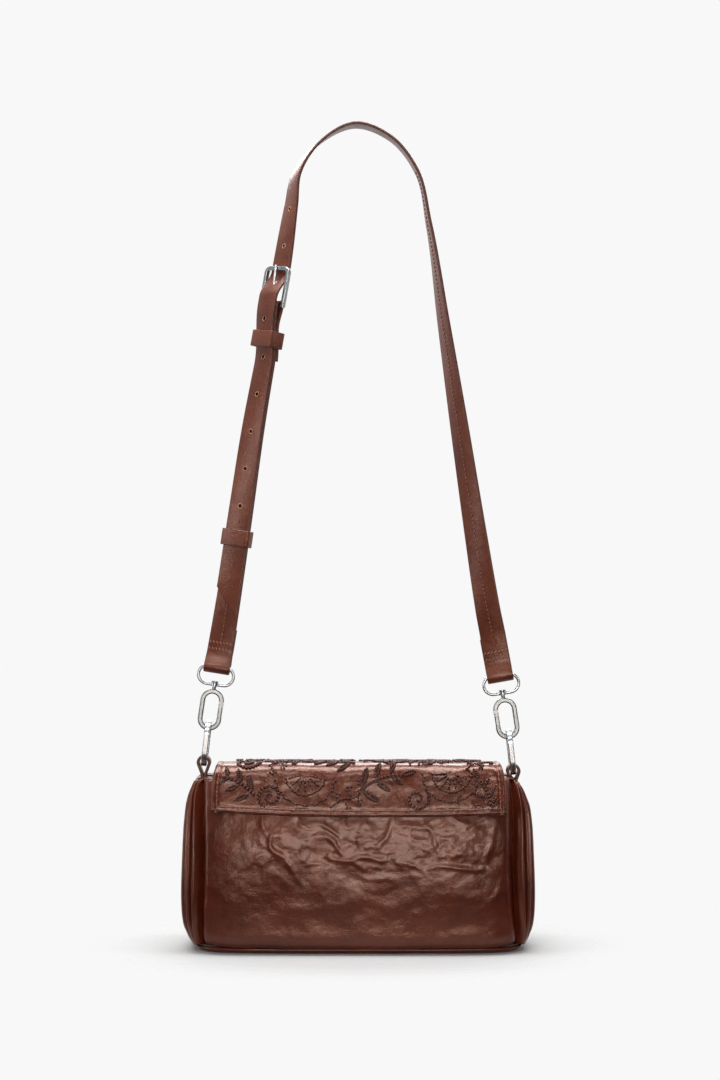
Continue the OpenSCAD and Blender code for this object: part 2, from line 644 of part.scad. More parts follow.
// Frame on the route: place, direction, face normal and width direction
function frame_at(s) = let(
    p = route_at(s), d = unit2(flat(route_at(s + 0.5)) - flat(route_at(s - 0.5))),
    out = [-d[1], 0, d[0]], across = [0, 1, 0], q = p[2])
    [[p[0], 0, p[1]], [d[0], 0, d[1]], out * cos(q) - across * sin(q), across * cos(q) + out * sin(q)];
// A place at s along the route, n along the face normal and w across
function strap_place(s, n, w = 0) = let(f = frame_at(s)) f[0] + n * f[2] + w * f[3];

// Heights above the body's panels, on the strap's left leg
heel_rise = 359;
tip_rise = 122;
fixed_keeper_rise = 332;
sliding_keeper_rise = 181.5;
// Length along the route at such a height
function s_at_rise(rise) = s_at_z(body_h + rise, 0, 1.2 * heel_rise);
function s_at_z(z, low, high) = high - low < 0.01 ? low
    : route_at((low + high) / 2)[1] < z ? s_at_z(z, (low + high) / 2, high)
    : s_at_z(z, low, (low + high) / 2);
heel_s = s_at_rise(heel_rise);
far_s = heel_s + buckle_l;
buckle_n = strap_t / 2 + 0.25 + buckle_t / 2;
heel_d = 2.6;
heel_fold_r = heel_d / 2 + 0.4 + strap_t / 2;
over_heel_n = buckle_n + heel_fold_r + strap_t + 0.2;
layer_n = strap_t / 2 + 0.15;
settle_l = 46;
tip_s = s_at_rise(tip_rise);
tip_cut = 20;
fold_r = ring_wire / 2 + fold_gap + strap_t / 2;
fold_l = 30;
fold_close_l = 12;
function ease(u) = let(v = min(1, max(0, u))) v * v * (3 - 2 * v);
// Offset of the long strap's middle from the route: over the heel bar, then onto the short strap
function long_n(s) = s < heel_s
    ? layer_n + (over_heel_n - layer_n) * ease((s - heel_s + settle_l) / settle_l)
    : over_heel_n * (1 - ease((s - heel_s - 6) / (buckle_l - 8)));
// Offset of the short strap's front layer
function short_n(s) = -layer_n + (buckle_n + heel_fold_r + layer_n) * ease((s - heel_s + settle_l) / settle_l)
    + (fold_r + layer_n) * (1 - ease(s / fold_close_l));
// Offset of the layer that is folded back at the ring and at the heel bar
function back_n(s, front, r) = front - 2 * layer_n - 2 * (r - layer_n);

// A ribbon along stations of [place, face normal, width direction]; way is -1 where it runs up the leg
module ribbon(stations, w, t, way = 1) {
    n = len(stations);
    corners = [[-1, -1], [way, -way], [1, 1], [-way, way]];
    points = [for (st = stations) for (c = corners) st[0] + st[2] * c[0] * w / 2 + st[1] * c[1] * t / 2];
    polyhedron(points, [
        [0, 3, 2], [0, 2, 1],
        [4 * n - 4, 4 * n - 3, 4 * n - 2], [4 * n - 4, 4 * n - 2, 4 * n - 1],
        for (i = [0:n - 2]) for (k = [0:3]) for (f = [
            [4 * i + k, 4 * i + (k + 1) % 4, 4 * i + 4 + (k + 1) % 4],
            [4 * i + k, 4 * i + 4 + (k + 1) % 4, 4 * i + 4 + k]]) f]);
}
function station(s, n) = let(f = frame_at(s)) [f[0] + n * f[2], f[2], f[3]];
// A half turn of the ribbon round a bar at s, from its front layer to its back layer
function half_turn(s, n_mid, r, way, steps = 8) = let(f = frame_at(s))
    [for (k = [0:steps]) let(a = 180 * k / steps, out = f[2] * cos(a) + f[1] * way * sin(a))
        [f[0] + n_mid * f[2] + r * out, out, f[3]]];
function reverse(list) = [for (i = [len(list) - 1:-1:0]) list[i]];
function flip(stations) = [for (st = stations) [st[0], -st[1], st[2]]];

ribbon_step = 9;
function steps_between(a, b) = let(n = max(2, ceil(abs(b - a) / ribbon_step)))
    [for (k = [0:n]) a + (b - a) * k / n];

// Layers at a swivel ring's fold, at distance u above the ring's wire
function fold_front(u) = layer_n + (fold_r - layer_n) * (1 - ease(u / fold_close_l));

module buckle_place() {
    f = frame_at(heel_s);
    g = frame_at(far_s);
    up = unit2(g[0] - f[0]);
    x = frame_at(heel_s + buckle_l / 2)[3];
    wide = unit2(x - up * (x * up));
    face = cross(up, wide);
    o = f[0] + buckle_n * face;
    // local X across, local Y along the face normal, local Z from the heel bar to the far bar
    multmatrix([[wide[0], face[0], up[0], o[0]], [wide[1], face[1], up[1], o[1]],
        [wide[2], face[2], up[2], o[2]], [0, 0, 0, 1]]) children();
}
prong_rise = atan2(buckle_t / 2 + prong_d / 2 + 0.15, buckle_l);
prong_hub_d = 5;
prong_hub_w = 3.4;
prong_swing = 5;

module hole_cutter(s) {
    f = frame_at(s);
    o = f[0] + long_n(s) * f[2];
    multmatrix([[f[3][0], f[1][0], f[2][0], o[0]], [f[3][1], f[1][1], f[2][1], o[1]],
        [f[3][2], f[1][2], f[2][2], o[2]], [0, 0, 0, 1]])
        cylinder(h = 4 * strap_t, d = hole_d, center = true, $fn = 32);
}
// The prong goes through the third hole from the top
prong_hole_s = heel_s + 17.5;
module strap_long() {
    foot = route_l;
    main = concat(steps_between(foot - 0.01, foot - fold_close_l),
        steps_between(foot - fold_close_l - 4, far_s + 14),
        [for (k = [0:11]) far_s + 8 - (far_s + 8 - heel_s + settle_l) * k / 11],
        steps_between(heel_s - settle_l - 6, tip_s));
    // the outer layer of the right foot carries on; the inner one is folded back
    outer = [for (s = main) station(s, s > foot - fold_close_l ? fold_front(foot - s)
        : s > foot - fold_l - 20 ? layer_n * ease((s - foot + fold_l + 20) / 20) : long_n(s))];
    turn = half_turn(foot, 0, fold_r, 1);
    inner = [for (s = steps_between(foot - fold_l, foot - fold_close_l)) station(s, -layer_n),
        for (k = [1:3]) let(u = fold_close_l * (1 - k / 4)) station(foot - u, -fold_front(u))];
    line = concat(flip(inner), [for (k = [8:-1:0]) turn[k]], [for (k = [1:len(outer) - 1]) outer[k]]);
    color(strap_colour) difference() {
        ribbon(line, strap_w, strap_t);
        for (k = [0:hole_count - 1]) if (k != 2) hole_cutter(prong_hole_s + (2 - k) * hole_pitch);
        buckle_place() for (a = [0:1:prong_swing]) rotate([-prong_rise - a, 0, 0])
            translate([0, 0, 5]) cylinder(h = buckle_l, d = prong_d + 0.8, $fn = 24);
        // the slanted cut of the tip
        tip_frame() translate([-strap_w, -4 * strap_t, -3 * tip_cut])
            cube([2 * strap_w, 8 * strap_t, 3 * tip_cut]);
    }
}
module tip_frame() {
    f = frame_at(tip_s + tip_cut / 2);
    o = f[0] + long_n(tip_s + tip_cut / 2) * f[2];
    multmatrix([[f[3][0], f[2][0], f[1][0], o[0]], [f[3][1], f[2][1], f[1][1], o[1]],
        [f[3][2], f[2][2], f[1][2], o[2]], [0, 0, 0, 1]]) rotate([0, 38, 0]) children();
}
heel_fold_l = 42;
module strap_short() {
    low = [for (s = steps_between(fold_l, fold_close_l)) station(s, -3 * layer_n),
        for (k = [1:3]) let(u = fold_close_l * (1 - k / 4)) station(u, -layer_n - fold_front(u))];
    low_turn = half_turn(0, 0, fold_r, -1);
    main = [for (k = [1:3]) let(u = fold_close_l * k / 4)
            station(u, fold_front(u) * (1 - k / 4) - layer_n * k / 4),
        for (s = steps_between(fold_close_l, heel_s - 1)) station(s, short_n(s))];
    high_turn = half_turn(heel_s, buckle_n, heel_fold_r, 1);
    high = [for (s = steps_between(heel_s - 1, heel_s - heel_fold_l)) station(s, back_short_n(s))];
    color(strap_colour) difference() {
        ribbon(concat(flip(low), reverse(low_turn), main, [for (k = [1:7]) high_turn[k]], flip(high)),
            strap_w, strap_t, -1);
        // slot for the prong's hub
        buckle_place() translate([-prong_hub_w / 2 - 0.4, -8, -6]) cube([prong_hub_w + 0.8, 16, 14]);
    }
}
function back_short_n(s) = let(u = (heel_s - s) / heel_fold_l)
    short_n(s) - 2 * heel_fold_r + (2 * heel_fold_r - 2 * layer_n) * ease(u / 0.45);

// Keepers: closed bands round the strap's layers
module keeper(s, n_low, n_high) {
    f = frame_at(s);
    o = f[0];
    inner_w = strap_w + 1.2;
    multmatrix([[f[3][0], f[2][0], f[1][0], o[0]], [f[3][1], f[2][1], f[1][1], o[1]],
        [f[3][2], f[2][2], f[1][2], o[2]], [0, 0, 0, 1]]) difference() {
        translate([-inner_w / 2 - keeper_t, n_low - keeper_t, -keeper_h / 2])
            cube([inner_w + 2 * keeper_t, n_high - n_low + 2 * keeper_t, keeper_h]);
        translate([-inner_w / 2, n_low, -keeper_h]) cube([inner_w, n_high - n_low, 2 * keeper_h]);
    }
}
fixed_keeper_s = s_at_rise(fixed_keeper_rise);
sliding_keeper_s = s_at_rise(sliding_keeper_rise);
module keeper_fixed() {
    s = fixed_keeper_s;
    color(strap_colour) keeper(s, back_short_n(s - keeper_h / 2) - strap_t / 2 - 0.6,
        long_n(s + keeper_h / 2) + strap_t / 2 + 0.5);
}
module keeper_sliding() {
    s = sliding_keeper_s;
    color(strap_colour) keeper(s, -layer_n - strap_t / 2 - 0.7, layer_n + strap_t / 2 + 0.7);
}

module buckle_frame() {
    r = 4;
    half = buckle_w / 2 - buckle_t / 2;
    color(metal_colour) buckle_place() {
        translate([-half, 0, 0]) rotate([0, 90, 0]) cylinder(h = 2 * half, d = heel_d, $fn = 48);
        for (x = [-1, 1]) {
            translate([x * half, 0, -heel_d / 2]) linear_extrude(buckle_l - r + heel_d / 2)
                bar_section(buckle_t, buckle_t, 0.7);
            translate([x * (half - r), 0, buckle_l - r]) rotate([90, 0, 0])
                rotate([0, 0, x > 0 ? 0 : 90]) rotate_extrude(angle = 90, $fn = 64)
                    translate([r, 0]) bar_section(buckle_t, buckle_t, 0.7);
        }
        translate([-half + r, 0, buckle_l]) rotate([0, 90, 0]) linear_extrude(2 * half - 2 * r)
            bar_section(buckle_t, buckle_t, 0.7);
    }
}
module buckle_prong() {
    color(metal_colour) buckle_place() difference() {
        union() {
            translate([-prong_hub_w / 2, 0, 0]) rotate([0, 90, 0])
                cylinder(h = prong_hub_w, d = prong_hub_d, $fn = 48);
            rotate([-prong_rise, 0, 0]) {
                cylinder(h = buckle_l + 1.2, d = prong_d, $fn = 32);
                translate([0, 0, buckle_l + 1.2]) sphere(d = prong_d, $fn = 32);
            }
        }
        translate([-prong_hub_w, 0, 0]) rotate([0, 90, 0])
            cylinder(h = 2 * prong_hub_w, d = heel_d + 2 * run_gap, $fn = 48);
    }
}

back_panel();
front_panel();
base_panel();
gusset_left();
gusset_right();
lining();
base_board();
slip_pocket();
zip_facing_back();
zip_facing_front();
zip_tape_back();
zip_tape_front();
zip_teeth_back();
zip_teeth_front();
zip_stops();
zip_slider();
zip_pull();
flap_back();
flap_top();
flap_front();
flap_lining_top();
flap_lining_front();
snap_socket();
snap_stud();
loop_left();
loop_right();
link_ring_left();
link_ring_right();
hook_left();
hook_right();
gate_left();
gate_right();
gate_pin_left();
gate_pin_right();
swivel_ring_left();
swivel_ring_right();
strap_long();
strap_short();
keeper_fixed();
keeper_sliding();
buckle_frame();
buckle_prong();
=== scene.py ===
import random
from math import acos, ceil, copysign, cos, exp, hypot, pi, radians, sin, sqrt

import bpy
import bmesh
import numpy as np
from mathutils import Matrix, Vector, noise


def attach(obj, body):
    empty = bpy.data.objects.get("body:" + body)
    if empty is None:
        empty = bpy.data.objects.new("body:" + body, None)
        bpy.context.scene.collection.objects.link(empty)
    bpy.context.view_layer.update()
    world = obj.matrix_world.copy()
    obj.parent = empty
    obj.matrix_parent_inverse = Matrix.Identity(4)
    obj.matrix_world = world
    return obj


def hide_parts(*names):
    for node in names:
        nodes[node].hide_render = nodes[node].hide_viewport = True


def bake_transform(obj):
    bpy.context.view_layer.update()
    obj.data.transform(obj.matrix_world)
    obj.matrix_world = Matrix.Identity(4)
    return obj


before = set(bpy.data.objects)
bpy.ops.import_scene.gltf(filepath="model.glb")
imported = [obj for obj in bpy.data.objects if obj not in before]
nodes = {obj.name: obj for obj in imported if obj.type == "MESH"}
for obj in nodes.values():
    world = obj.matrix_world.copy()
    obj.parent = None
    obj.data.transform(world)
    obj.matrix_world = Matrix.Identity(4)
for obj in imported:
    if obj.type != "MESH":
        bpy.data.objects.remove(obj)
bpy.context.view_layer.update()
MM = 0.001

# Materials


def srgb(r, g, b):
    def one(c):
        c /= 255
        return c / 12.92 if c <= 0.04045 else ((c + 0.055) / 1.055) ** 2.4

    return (one(r), one(g), one(b), 1.0)


class Tree:
    """The node tree of a material or world, with short calls for adding and linking nodes."""

    def __init__(self, owner):
        owner.use_nodes = True
        self.tree = owner.node_tree
        self.tree.nodes.clear()

    def add(self, kind, **values):
        node = self.tree.nodes.new(kind)
        for key, value in values.items():
            if key in node.inputs:
                node.inputs[key].default_value = value
            else:
                setattr(node, key, value)
        return node

    def link(self, a, out, b, into):
        self.tree.links.new(a.outputs[out], b.inputs[into])

    def range(self, source, out, low, high, from_low=0.3, from_high=0.7):
        limits = {"From Min": from_low, "From Max": from_high, "To Min": low, "To Max": high}
        node = self.add("ShaderNodeMapRange", **limits)
        self.link(source, out, node, "Value")
        return node


class Material(Tree):
    """A material with one principled shader on the object's own coordinates."""

    def __init__(self, name):
        self.mat = bpy.data.materials.new(name)
        super().__init__(self.mat)
        self.out = self.add("ShaderNodeOutputMaterial")
        self.shader = self.add("ShaderNodeBsdfPrincipled")
        self.link(self.shader, "BSDF", self.out, "Surface")
        self.coord = self.add("ShaderNodeTexCoord")

    def set(self, **values):
        for key, value in values.items():
            self.shader.inputs[key.replace("_", " ")].default_value = value

    def noise(self, scale, detail, rough=0.55, distortion=0.0, stretch=None):
        node = self.add("ShaderNodeTexNoise", Scale=scale, Detail=detail)
        node.inputs["Roughness"].default_value = rough
        node.inputs["Distortion"].default_value = distortion
        self.place(node, stretch)
        return node

    def place(self, node, stretch=None):
        if stretch is None:
            self.link(self.coord, "Object", node, "Vector")
            return
        mapping = self.add("ShaderNodeMapping", Scale=stretch)
        self.link(self.coord, "Object", mapping, "Vector")
        self.link(mapping, "Vector", node, "Vector")

    def colour(self, source, *stops):
        """Colours the shader by a noise: stops of (value, linear colour)."""
        node = self.add("ShaderNodeValToRGB")
        elements = node.color_ramp.elements
        while len(elements) < len(stops):
            elements.new(0.5)
        for element, (at, colour) in zip(elements, stops):
            element.position = at
            element.color = colour
        self.link(source, "Fac", node, "Fac")
        self.link(node, "Color", self.shader, "Base Color")

    def roughness(self, source, low, high):
        self.link(self.range(source, "Fac", low, high), "Result", self.shader, "Roughness")

    def bumps(self, *layers):
        """Stacks bumps on the shader: layers of (node, its output, strength, height in metres)."""
        last = None
        for source, out, strength, distance in layers:
            node = self.add("ShaderNodeBump", Strength=strength, Distance=distance)
            self.link(source, out, node, "Height")
            if last is not None:
                self.link(last, "Normal", node, "Normal")
            last = node
        self.link(last, "Normal", self.shader, "Normal")


def leather(name, dark, mid, light, rough, coat, crinkle):
    m = Material(name)
    m.colour(m.noise(26, 6, 0.6, 0.6), (0.28, dark), (0.5, mid), (0.74, light))
    m.roughness(m.noise(90, 5, 0.6), *rough)
    m.set(Coat_Weight=coat, Coat_Roughness=0.2, Specular_IOR_Level=0.66)
    m.set(Specular_Tint=(1.0, 0.68, 0.55, 1.0), Coat_Tint=(1.0, 0.8, 0.7, 1.0))
    pores = m.add("ShaderNodeTexVoronoi", feature="F1", Scale=1150)
    m.place(pores)
    creases = m.noise(110, 4, 0.55, 0.5)
    fine = m.noise(700, 3, 0.6)
    grain = [(pores, "Distance", 0.35, 0.00025), (fine, "Fac", 0.35, 0.0002)]
    m.bumps((creases, "Fac", crinkle, 0.0012), *grain)
    return m.mat


def metal(name, colour, rough, scratch=0.1):
    m = Material(name)
    dull = tuple(c * 0.9 for c in colour[:3]) + (1.0,)
    m.colour(m.noise(90, 3, 0.5), (0.3, dull), (0.65, colour))
    m.roughness(m.noise(160, 3, 0.5), *rough)
    m.set(Metallic=1.0)
    m.bumps((m.noise(900, 4, 0.6, 0.0, (1, 1, 0.12)), "Fac", scratch, 0.0001))
    return m.mat


def cloth(name, dark, light, threads=900):
    m = Material(name)
    m.colour(m.noise(60, 4), (0.35, dark), (0.7, light))
    m.set(Roughness=0.85, Sheen_Weight=0.15)
    weave = [m.add("ShaderNodeTexWave", bands_direction=way, Scale=threads, Distortion=0.6) for way in "XZ"]
    for waves in weave:
        m.place(waves)
    m.bumps(*((waves, "Fac", 0.35, 0.0002) for waves in weave))
    return m.mat


def plain(name, dark, light, rough, scale, bump, sheen=0.0):
    m = Material(name)
    m.colour(m.noise(scale, 4), (0.35, dark), (0.68, light))
    m.set(Roughness=rough, Sheen_Weight=sheen)
    m.bumps((m.noise(scale * 4, 3), "Fac", bump, 0.0002))
    return m.mat


body_leather = leather(
    "glazed_leather", srgb(56, 17, 6), srgb(71, 23, 10), srgb(83, 31, 15), (0.28, 0.37), 0.17, 0.3
)
flap_leather = leather(
    "flap_leather", srgb(58, 18, 8), srgb(73, 25, 12), srgb(85, 34, 18), (0.22, 0.32), 0.2, 0.45
)
strap_leather = leather(
    "strap_leather", srgb(76, 32, 20), srgb(91, 42, 28), srgb(104, 53, 37), (0.32, 0.46), 0.12, 0.42
)
edge_paint = plain("edge_paint", srgb(74, 33, 22), srgb(92, 45, 31), 0.42, 200, 0.2)
# the punched holes' rims: raw leather colour, lightened further as a painted highlight
raw_edge_and_highlight = plain("raw_edge_and_highlight", srgb(150, 116, 82), srgb(196, 160, 120), 0.8, 900, 0.5)
thread_dark = plain("embroidery_thread", srgb(50, 17, 9), srgb(86, 35, 21), 0.46, 1200, 0.6)
thread_brown = plain("seam_thread", srgb(112, 60, 42), srgb(150, 92, 68), 0.6, 1200, 0.5, 0.2)
nickel = metal("satin_nickel", srgb(190, 196, 199), (0.27, 0.29), 0.002)
# the hooks and gates: the same satin nickel darkened, painted shade for the dim reflections on their flat
# faces
hook_nickel_painted_shade = metal("hook_nickel_painted_shade", srgb(140, 145, 147), (0.28, 0.32), 0.002)
zip_metal = metal("zip_metal", srgb(196, 192, 184), (0.26, 0.42))
lining_cloth = cloth("lining_cloth", srgb(110, 84, 64), srgb(150, 120, 96))
tape_cloth = cloth("zip_tape_cloth", srgb(50, 26, 20), srgb(72, 40, 31), 1300)
board_mat = plain("fibre_board", srgb(60, 54, 48), srgb(84, 76, 68), 0.9, 500, 0.4)

# Mesh tools


def new_object(name, data):
    obj = bpy.data.objects.new(name, data)
    bpy.context.collection.objects.link(obj)
    return obj


def make(name, verts, faces, mats, body=None, indices=None, angle=None):
    """A mesh from points in millimetres that rides a body, with edges sharp above an angle in degrees."""
    mesh = bpy.data.meshes.new(name)
    mesh.from_pydata([tuple(Vector(v) * MM) for v in verts], [], faces)
    for mat in mats if isinstance(mats, list) else [mats]:
        mesh.materials.append(mat)
    if indices is not None:
        mesh.polygons.foreach_set("material_index", indices)
    bm = bmesh.new()
    bm.from_mesh(mesh)
    bmesh.ops.recalc_face_normals(bm, faces=bm.faces)
    bm.to_mesh(mesh)
    bm.free()
    mesh.polygons.foreach_set("use_smooth", [True] * len(mesh.polygons))
    if angle is not None:
        mesh.set_sharp_from_angle(angle=radians(angle))
    mesh.update()
    obj = new_object(name, mesh)
    if body:
        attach(obj, body)
    return obj


def grid_normals(P):
    n = np.cross(np.gradient(P, axis=0), np.gradient(P, axis=1))
    return n / np.maximum(np.linalg.norm(n, axis=2, keepdims=True), 1e-12)


def grid(nx, ny, place):
    """The points place(i, j), in millimetres, as an array."""
    return np.array([[tuple(place(i, j)) for j in range(ny)] for i in range(nx)])


def quads(rows, count):
    """The faces between rings of count points that follow each other."""
    faces = []
    for i in range(rows):
        for k in range(count):
            k2 = (k + 1) % count
            faces.append((i * count + k, i * count + k2, (i + 1) * count + k2, (i + 1) * count + k))
    return faces


def shell(name, P, t, mats, body, toward):
    """A closed sheet, t thick, on the inner side of a grid of points whose outside faces a direction."""
    n, m = P.shape[:2]
    N = grid_normals(P)
    if np.sum(N * toward) < 0:
        N = -N
    size = n * m
    faces = []
    for i in range(n - 1):
        for a in range(i * m, i * m + m - 1):
            b, c, d = a + m, a + m + 1, a + 1
            faces.append((a, b, c, d))
            faces.append((a + size, d + size, c + size, b + size))
    ids = [i * m for i in range(n)] + [(n - 1) * m + j for j in range(1, m)]
    ids += [i * m + m - 1 for i in range(n - 2, -1, -1)] + list(range(m - 2, 0, -1))
    for a, b in zip(ids, ids[1:] + ids[:1]):
        faces.append((a, b, b + size, a + size))
    return make(name, np.concatenate([P.reshape(-1, 3), (P - N * t).reshape(-1, 3)]), faces, mats, body)


def rounded(w, t, r, steps):
    """Points of a rounded rectangle, w by t, in millimetres."""
    points = []
    for sx, sy, start in ((1, 1, 0), (-1, 1, 90), (-1, -1, 180), (1, -1, 270)):
        for k in range(steps + 1):
            a = radians(start + 90 * k / steps)
            points.append((sx * (w / 2 - r) + r * cos(a), sy * (t / 2 - r) + r * sin(a)))
    return points


def ring(count):
    """Angles all the way round, in radians."""
    return [2 * pi * k / count for k in range(count)]


def bell(d, width, power=2):
    """1 at d = 0, and close to 0 past the width on both sides."""
    return exp(-((d / width) ** power))


def ease(u):
    """A soft step from 0 at u = 0 to 1 at u = 1."""
    v = min(1, max(0, u))
    return v * v * (3 - 2 * v)


def hermite(u, start, end, slope, end_slope):
    """A cubic from start to end with its slopes at both, for u from 0 to 1."""
    return (
        start * (2 * u**3 - 3 * u**2 + 1) + slope * (u**3 - 2 * u**2 + u)
        + end * (3 * u**2 - 2 * u**3) + end_slope * (u**3 - u**2)
    )


def sweep(name, stations, section, mats, body, closed=False, edge_from=None):
    """A tube whose section lies along each station's two directions.

    Faces whose section lies further out than edge_from get the second material, and so do open ends.
    """
    k, count = len(section), len(stations)
    spans = count if closed else count - 1
    verts = [place + across * a + up * b for place, across, up in stations for a, b in section]
    faces = []
    for i in range(spans):
        n = (i + 1) % count
        faces += [(i * k + j, n * k + j, n * k + (j + 1) % k, i * k + (j + 1) % k) for j in range(k)]
    painted = edge_from is not None
    mids = [abs(section[j][0] + section[(j + 1) % k][0]) / 2 for j in range(k)]
    indices = [int(painted and mid > edge_from) for mid in mids] * spans
    if not closed:
        faces.append(tuple(range(k)))
        faces.append(tuple((count - 1) * k + j for j in range(k - 1, -1, -1)))
        indices += [int(painted)] * 2
    return make(name, verts, faces, mats, body, indices, angle=50)


class Threads:
    """Collects short stitches, each a small plump capsule of thread, into one mesh."""

    SIDES = 6
    # a stitch's rings: place along it, share of its width, share of its rise
    RINGS = ((0.0, 0.45, -0.15), (0.12, 0.85, 0.3), (0.5, 1.0, 1.0), (0.88, 0.85, 0.3), (1.0, 0.45, -0.15))

    def __init__(self):
        self.verts, self.faces = [], []

    def stitch(self, a, b, normal, d, rise=0.35):
        a, b, normal = Vector(a), Vector(b), Vector(normal).normalized()
        along = b - a
        if along.length < 1e-6:
            return
        side = along.cross(normal).normalized()
        up = side.cross(along).normalized()
        if up.dot(normal) < 0:
            up = -up
        start, sides = len(self.verts), self.SIDES
        for t, fat, high in self.RINGS:
            centre = a + along * t + up * (rise * d * high)
            for q in ring(sides):
                self.verts.append(centre + (side * cos(q) + up * sin(q)) * (d / 2 * fat))
        last = len(self.RINGS) - 1
        self.faces += [tuple(start + v for v in face) for face in quads(last, sides)]
        self.faces.append(tuple(start + s for s in range(sides - 1, -1, -1)))
        self.faces.append(tuple(start + last * sides + s for s in range(sides)))

    def build(self, name, mat, body=None):
        return make(name, self.verts, self.faces, mat, body)


def fractal(x, y, z, octaves=4):
    return noise.fractal(Vector((x, y, z)), 1.0, 2.0, octaves)


# The body

# The body's half width on the left and right and its half depth, by height, and where its grooves lie
Z_KNOTS = [0, 2.5, 7, 12, 21, 40, 58, 76, 94, 108, 117, 126, 131]
LEFT_W = [121, 124.5, 127.5, 130, 133.2, 134.6, 134.4, 133.6, 132.6, 131.2, 129.2, 125.8, 123.4]
RIGHT_W = [121.5, 125, 127.8, 130, 132.6, 133.8, 133.6, 132.8, 131.8, 130, 127, 123.8, 121]
DEPTH_Z = [0, 5.2, 14.3, 40.3, 78, 104, 119.6, 131]
DEPTH = [33, 35.9, 38, 39.5, 38.1, 34.2, 30.2, 27.4]
GROOVE_Z = [0, 6, 30, 63, 100, 131]
GROOVE_LEFT = [116, 118.5, 118.8, 117.9, 118.8, 119.8]
GROOVE_RIGHT = [118, 121.5, 119, 117.2, 117.6, 118]
POWER = 5
BODY_TOP = 130
PANEL_TOP = BODY_TOP - 0.3
SEAM_Z = 4.2
BODY_SKIN = 1.4
# how far each gusset's top dips in the middle, as photographed
DIP_LEFT, DIP_RIGHT = 3.5, 8.2


def smooth_table(z, xs, ys):
    """Cubic interpolation through a table."""
    last = len(xs) - 1
    i = min(max(int(np.searchsorted(xs, z)) - 1, 0), last - 1)
    h = xs[i + 1] - xs[i]
    t = min(max((z - xs[i]) / h, 0), 1)

    def slope(k):
        low, high = max(k - 1, 0), min(k + 1, last)
        return (ys[high] - ys[low]) / (xs[high] - xs[low])

    return hermite(t, ys[i], ys[i + 1], slope(i) * h, slope(i + 1) * h)


def half_width(side, z):
    return smooth_table(z, Z_KNOTS, LEFT_W if side < 0 else RIGHT_W)


def half_depth(z):
    return smooth_table(z, DEPTH_Z, DEPTH)


def groove_x(side, z):
    """Where the panel folds into the gusset, as seen in the photograph."""
    x = smooth_table(z, GROOVE_Z, GROOVE_LEFT if side < 0 else GROOVE_RIGHT)
    return min(x, half_width(side, z) - 1.2)


def face_y(x, z):
    w = half_width(-1 if x < 0 else 1, z)
    return half_depth(z) * (1 - min(0.9995, abs(x) / w) ** POWER) ** (1 / POWER)


# Creases that show as glints on the photographed panel: x, z, x, z, width, height in millimetres
CREASES = [
    (-73, 112, -68, 92, 2.0, 0.8), (-66, 88, -62, 76, 1.8, 0.9), (-62, 76, -44, 58, 2.0, 0.8),
    (-90, 66, -72, 74, 2.4, 0.5), (-30, 96, -14, 92, 1.9, 0.9), (-24, 86, -12, 78, 1.8, 0.8),
    (-20, 74, -2, 66, 2.0, 0.9), (-6, 70, 14, 72, 1.8, 0.8), (16, 84, 26, 104, 2.2, 0.7),
    (30, 100, 52, 92, 2.4, 0.7), (52, 92, 62, 78, 2.2, 0.6), (58, 64, 88, 66, 1.8, 0.8),
    (84, 96, 96, 108, 2.2, 0.7), (92, 70, 104, 96, 2.6, 0.5), (-104, 52, -92, 66, 2.6, 0.5),
    (98, 40, 108, 56, 2.8, 0.5), (-12, 104, 2, 110, 2.2, 0.5), (66, 108, 80, 98, 2.0, 0.6),
    (-48, 104, -38, 96, 2.0, 0.6), (36, 72, 46, 62, 1.9, 0.6), (4, 60, 22, 56, 2.2, 0.5),
]


def crease_height(x, z):
    total = 0.0
    for x0, z0, x1, z1, w, h in CREASES:
        dx, dz = x1 - x0, z1 - z0
        t = ((x - x0) * dx + (z - z0) * dz) / (dx * dx + dz * dz)
        d = ((x - x0) * dz - (z - z0) * dx) / hypot(dx, dz) + 2.2 * sin(3.1 * t + x0)
        if -0.4 <= t <= 1.4 and abs(d) <= 3.5 * w:
            fade = bell(max(0, -t, t - 1) * 3.2, 1)
            total += h * fade * (0.55 + 0.45 * sin(pi * min(1, max(0, t)))) * bell(d, w)
    return total


def panel_relief(side, x, z):
    """How far the panel's leather stands out of its smooth form, in millimetres."""
    edge = max(0, min(groove_x(1, z) - x, x + groove_x(-1, z)))
    fold = 0.9 * (1 - exp(-edge / 12)) - 6.0 * bell(edge, 3.6 if x > 0 else 2.4)
    low = 0.8 * bell(z - 13, 7) - 2.4 * bell(z - SEAM_Z, 2.2)
    seed = 11 if side < 0 else 47
    wide = 1.4 * fractal(x / 50 + seed, z / 38, 1.7, 3)
    calm = 0.22 * fractal(x / 9, z / 8 + seed, 2.2, 3)
    middle = bell(z - 84, 26, 4) * bell(x - 12, 92, 6)
    blister = fractal(x / 17 + seed, z / 14, 4.2, 4)
    small = (1.0 - abs(blister)) ** 3 * 0.95 + 0.55 * fractal(x / 6.5, z / 5.5 + seed, 9.1, 3)
    # the hidden panel has the same creases the other way round
    creases = crease_height(x if side < 0 else -x * 0.93 + 4, z)
    return fold + low + wide + calm + middle * small * 0.34 + 0.7 * creases


def outward(side, x, z):
    """The body's outward direction in plan at a place on its curve, for the half with Y >= 0."""
    w, d = half_width(side, z), half_depth(z)
    u = min(0.9999, abs(x) / w)
    gx = side * u ** (POWER - 1) / w
    gy = (1 - u**POWER) ** ((POWER - 1) / POWER) / d
    size = hypot(gx, gy)
    return gx / size, gy / size


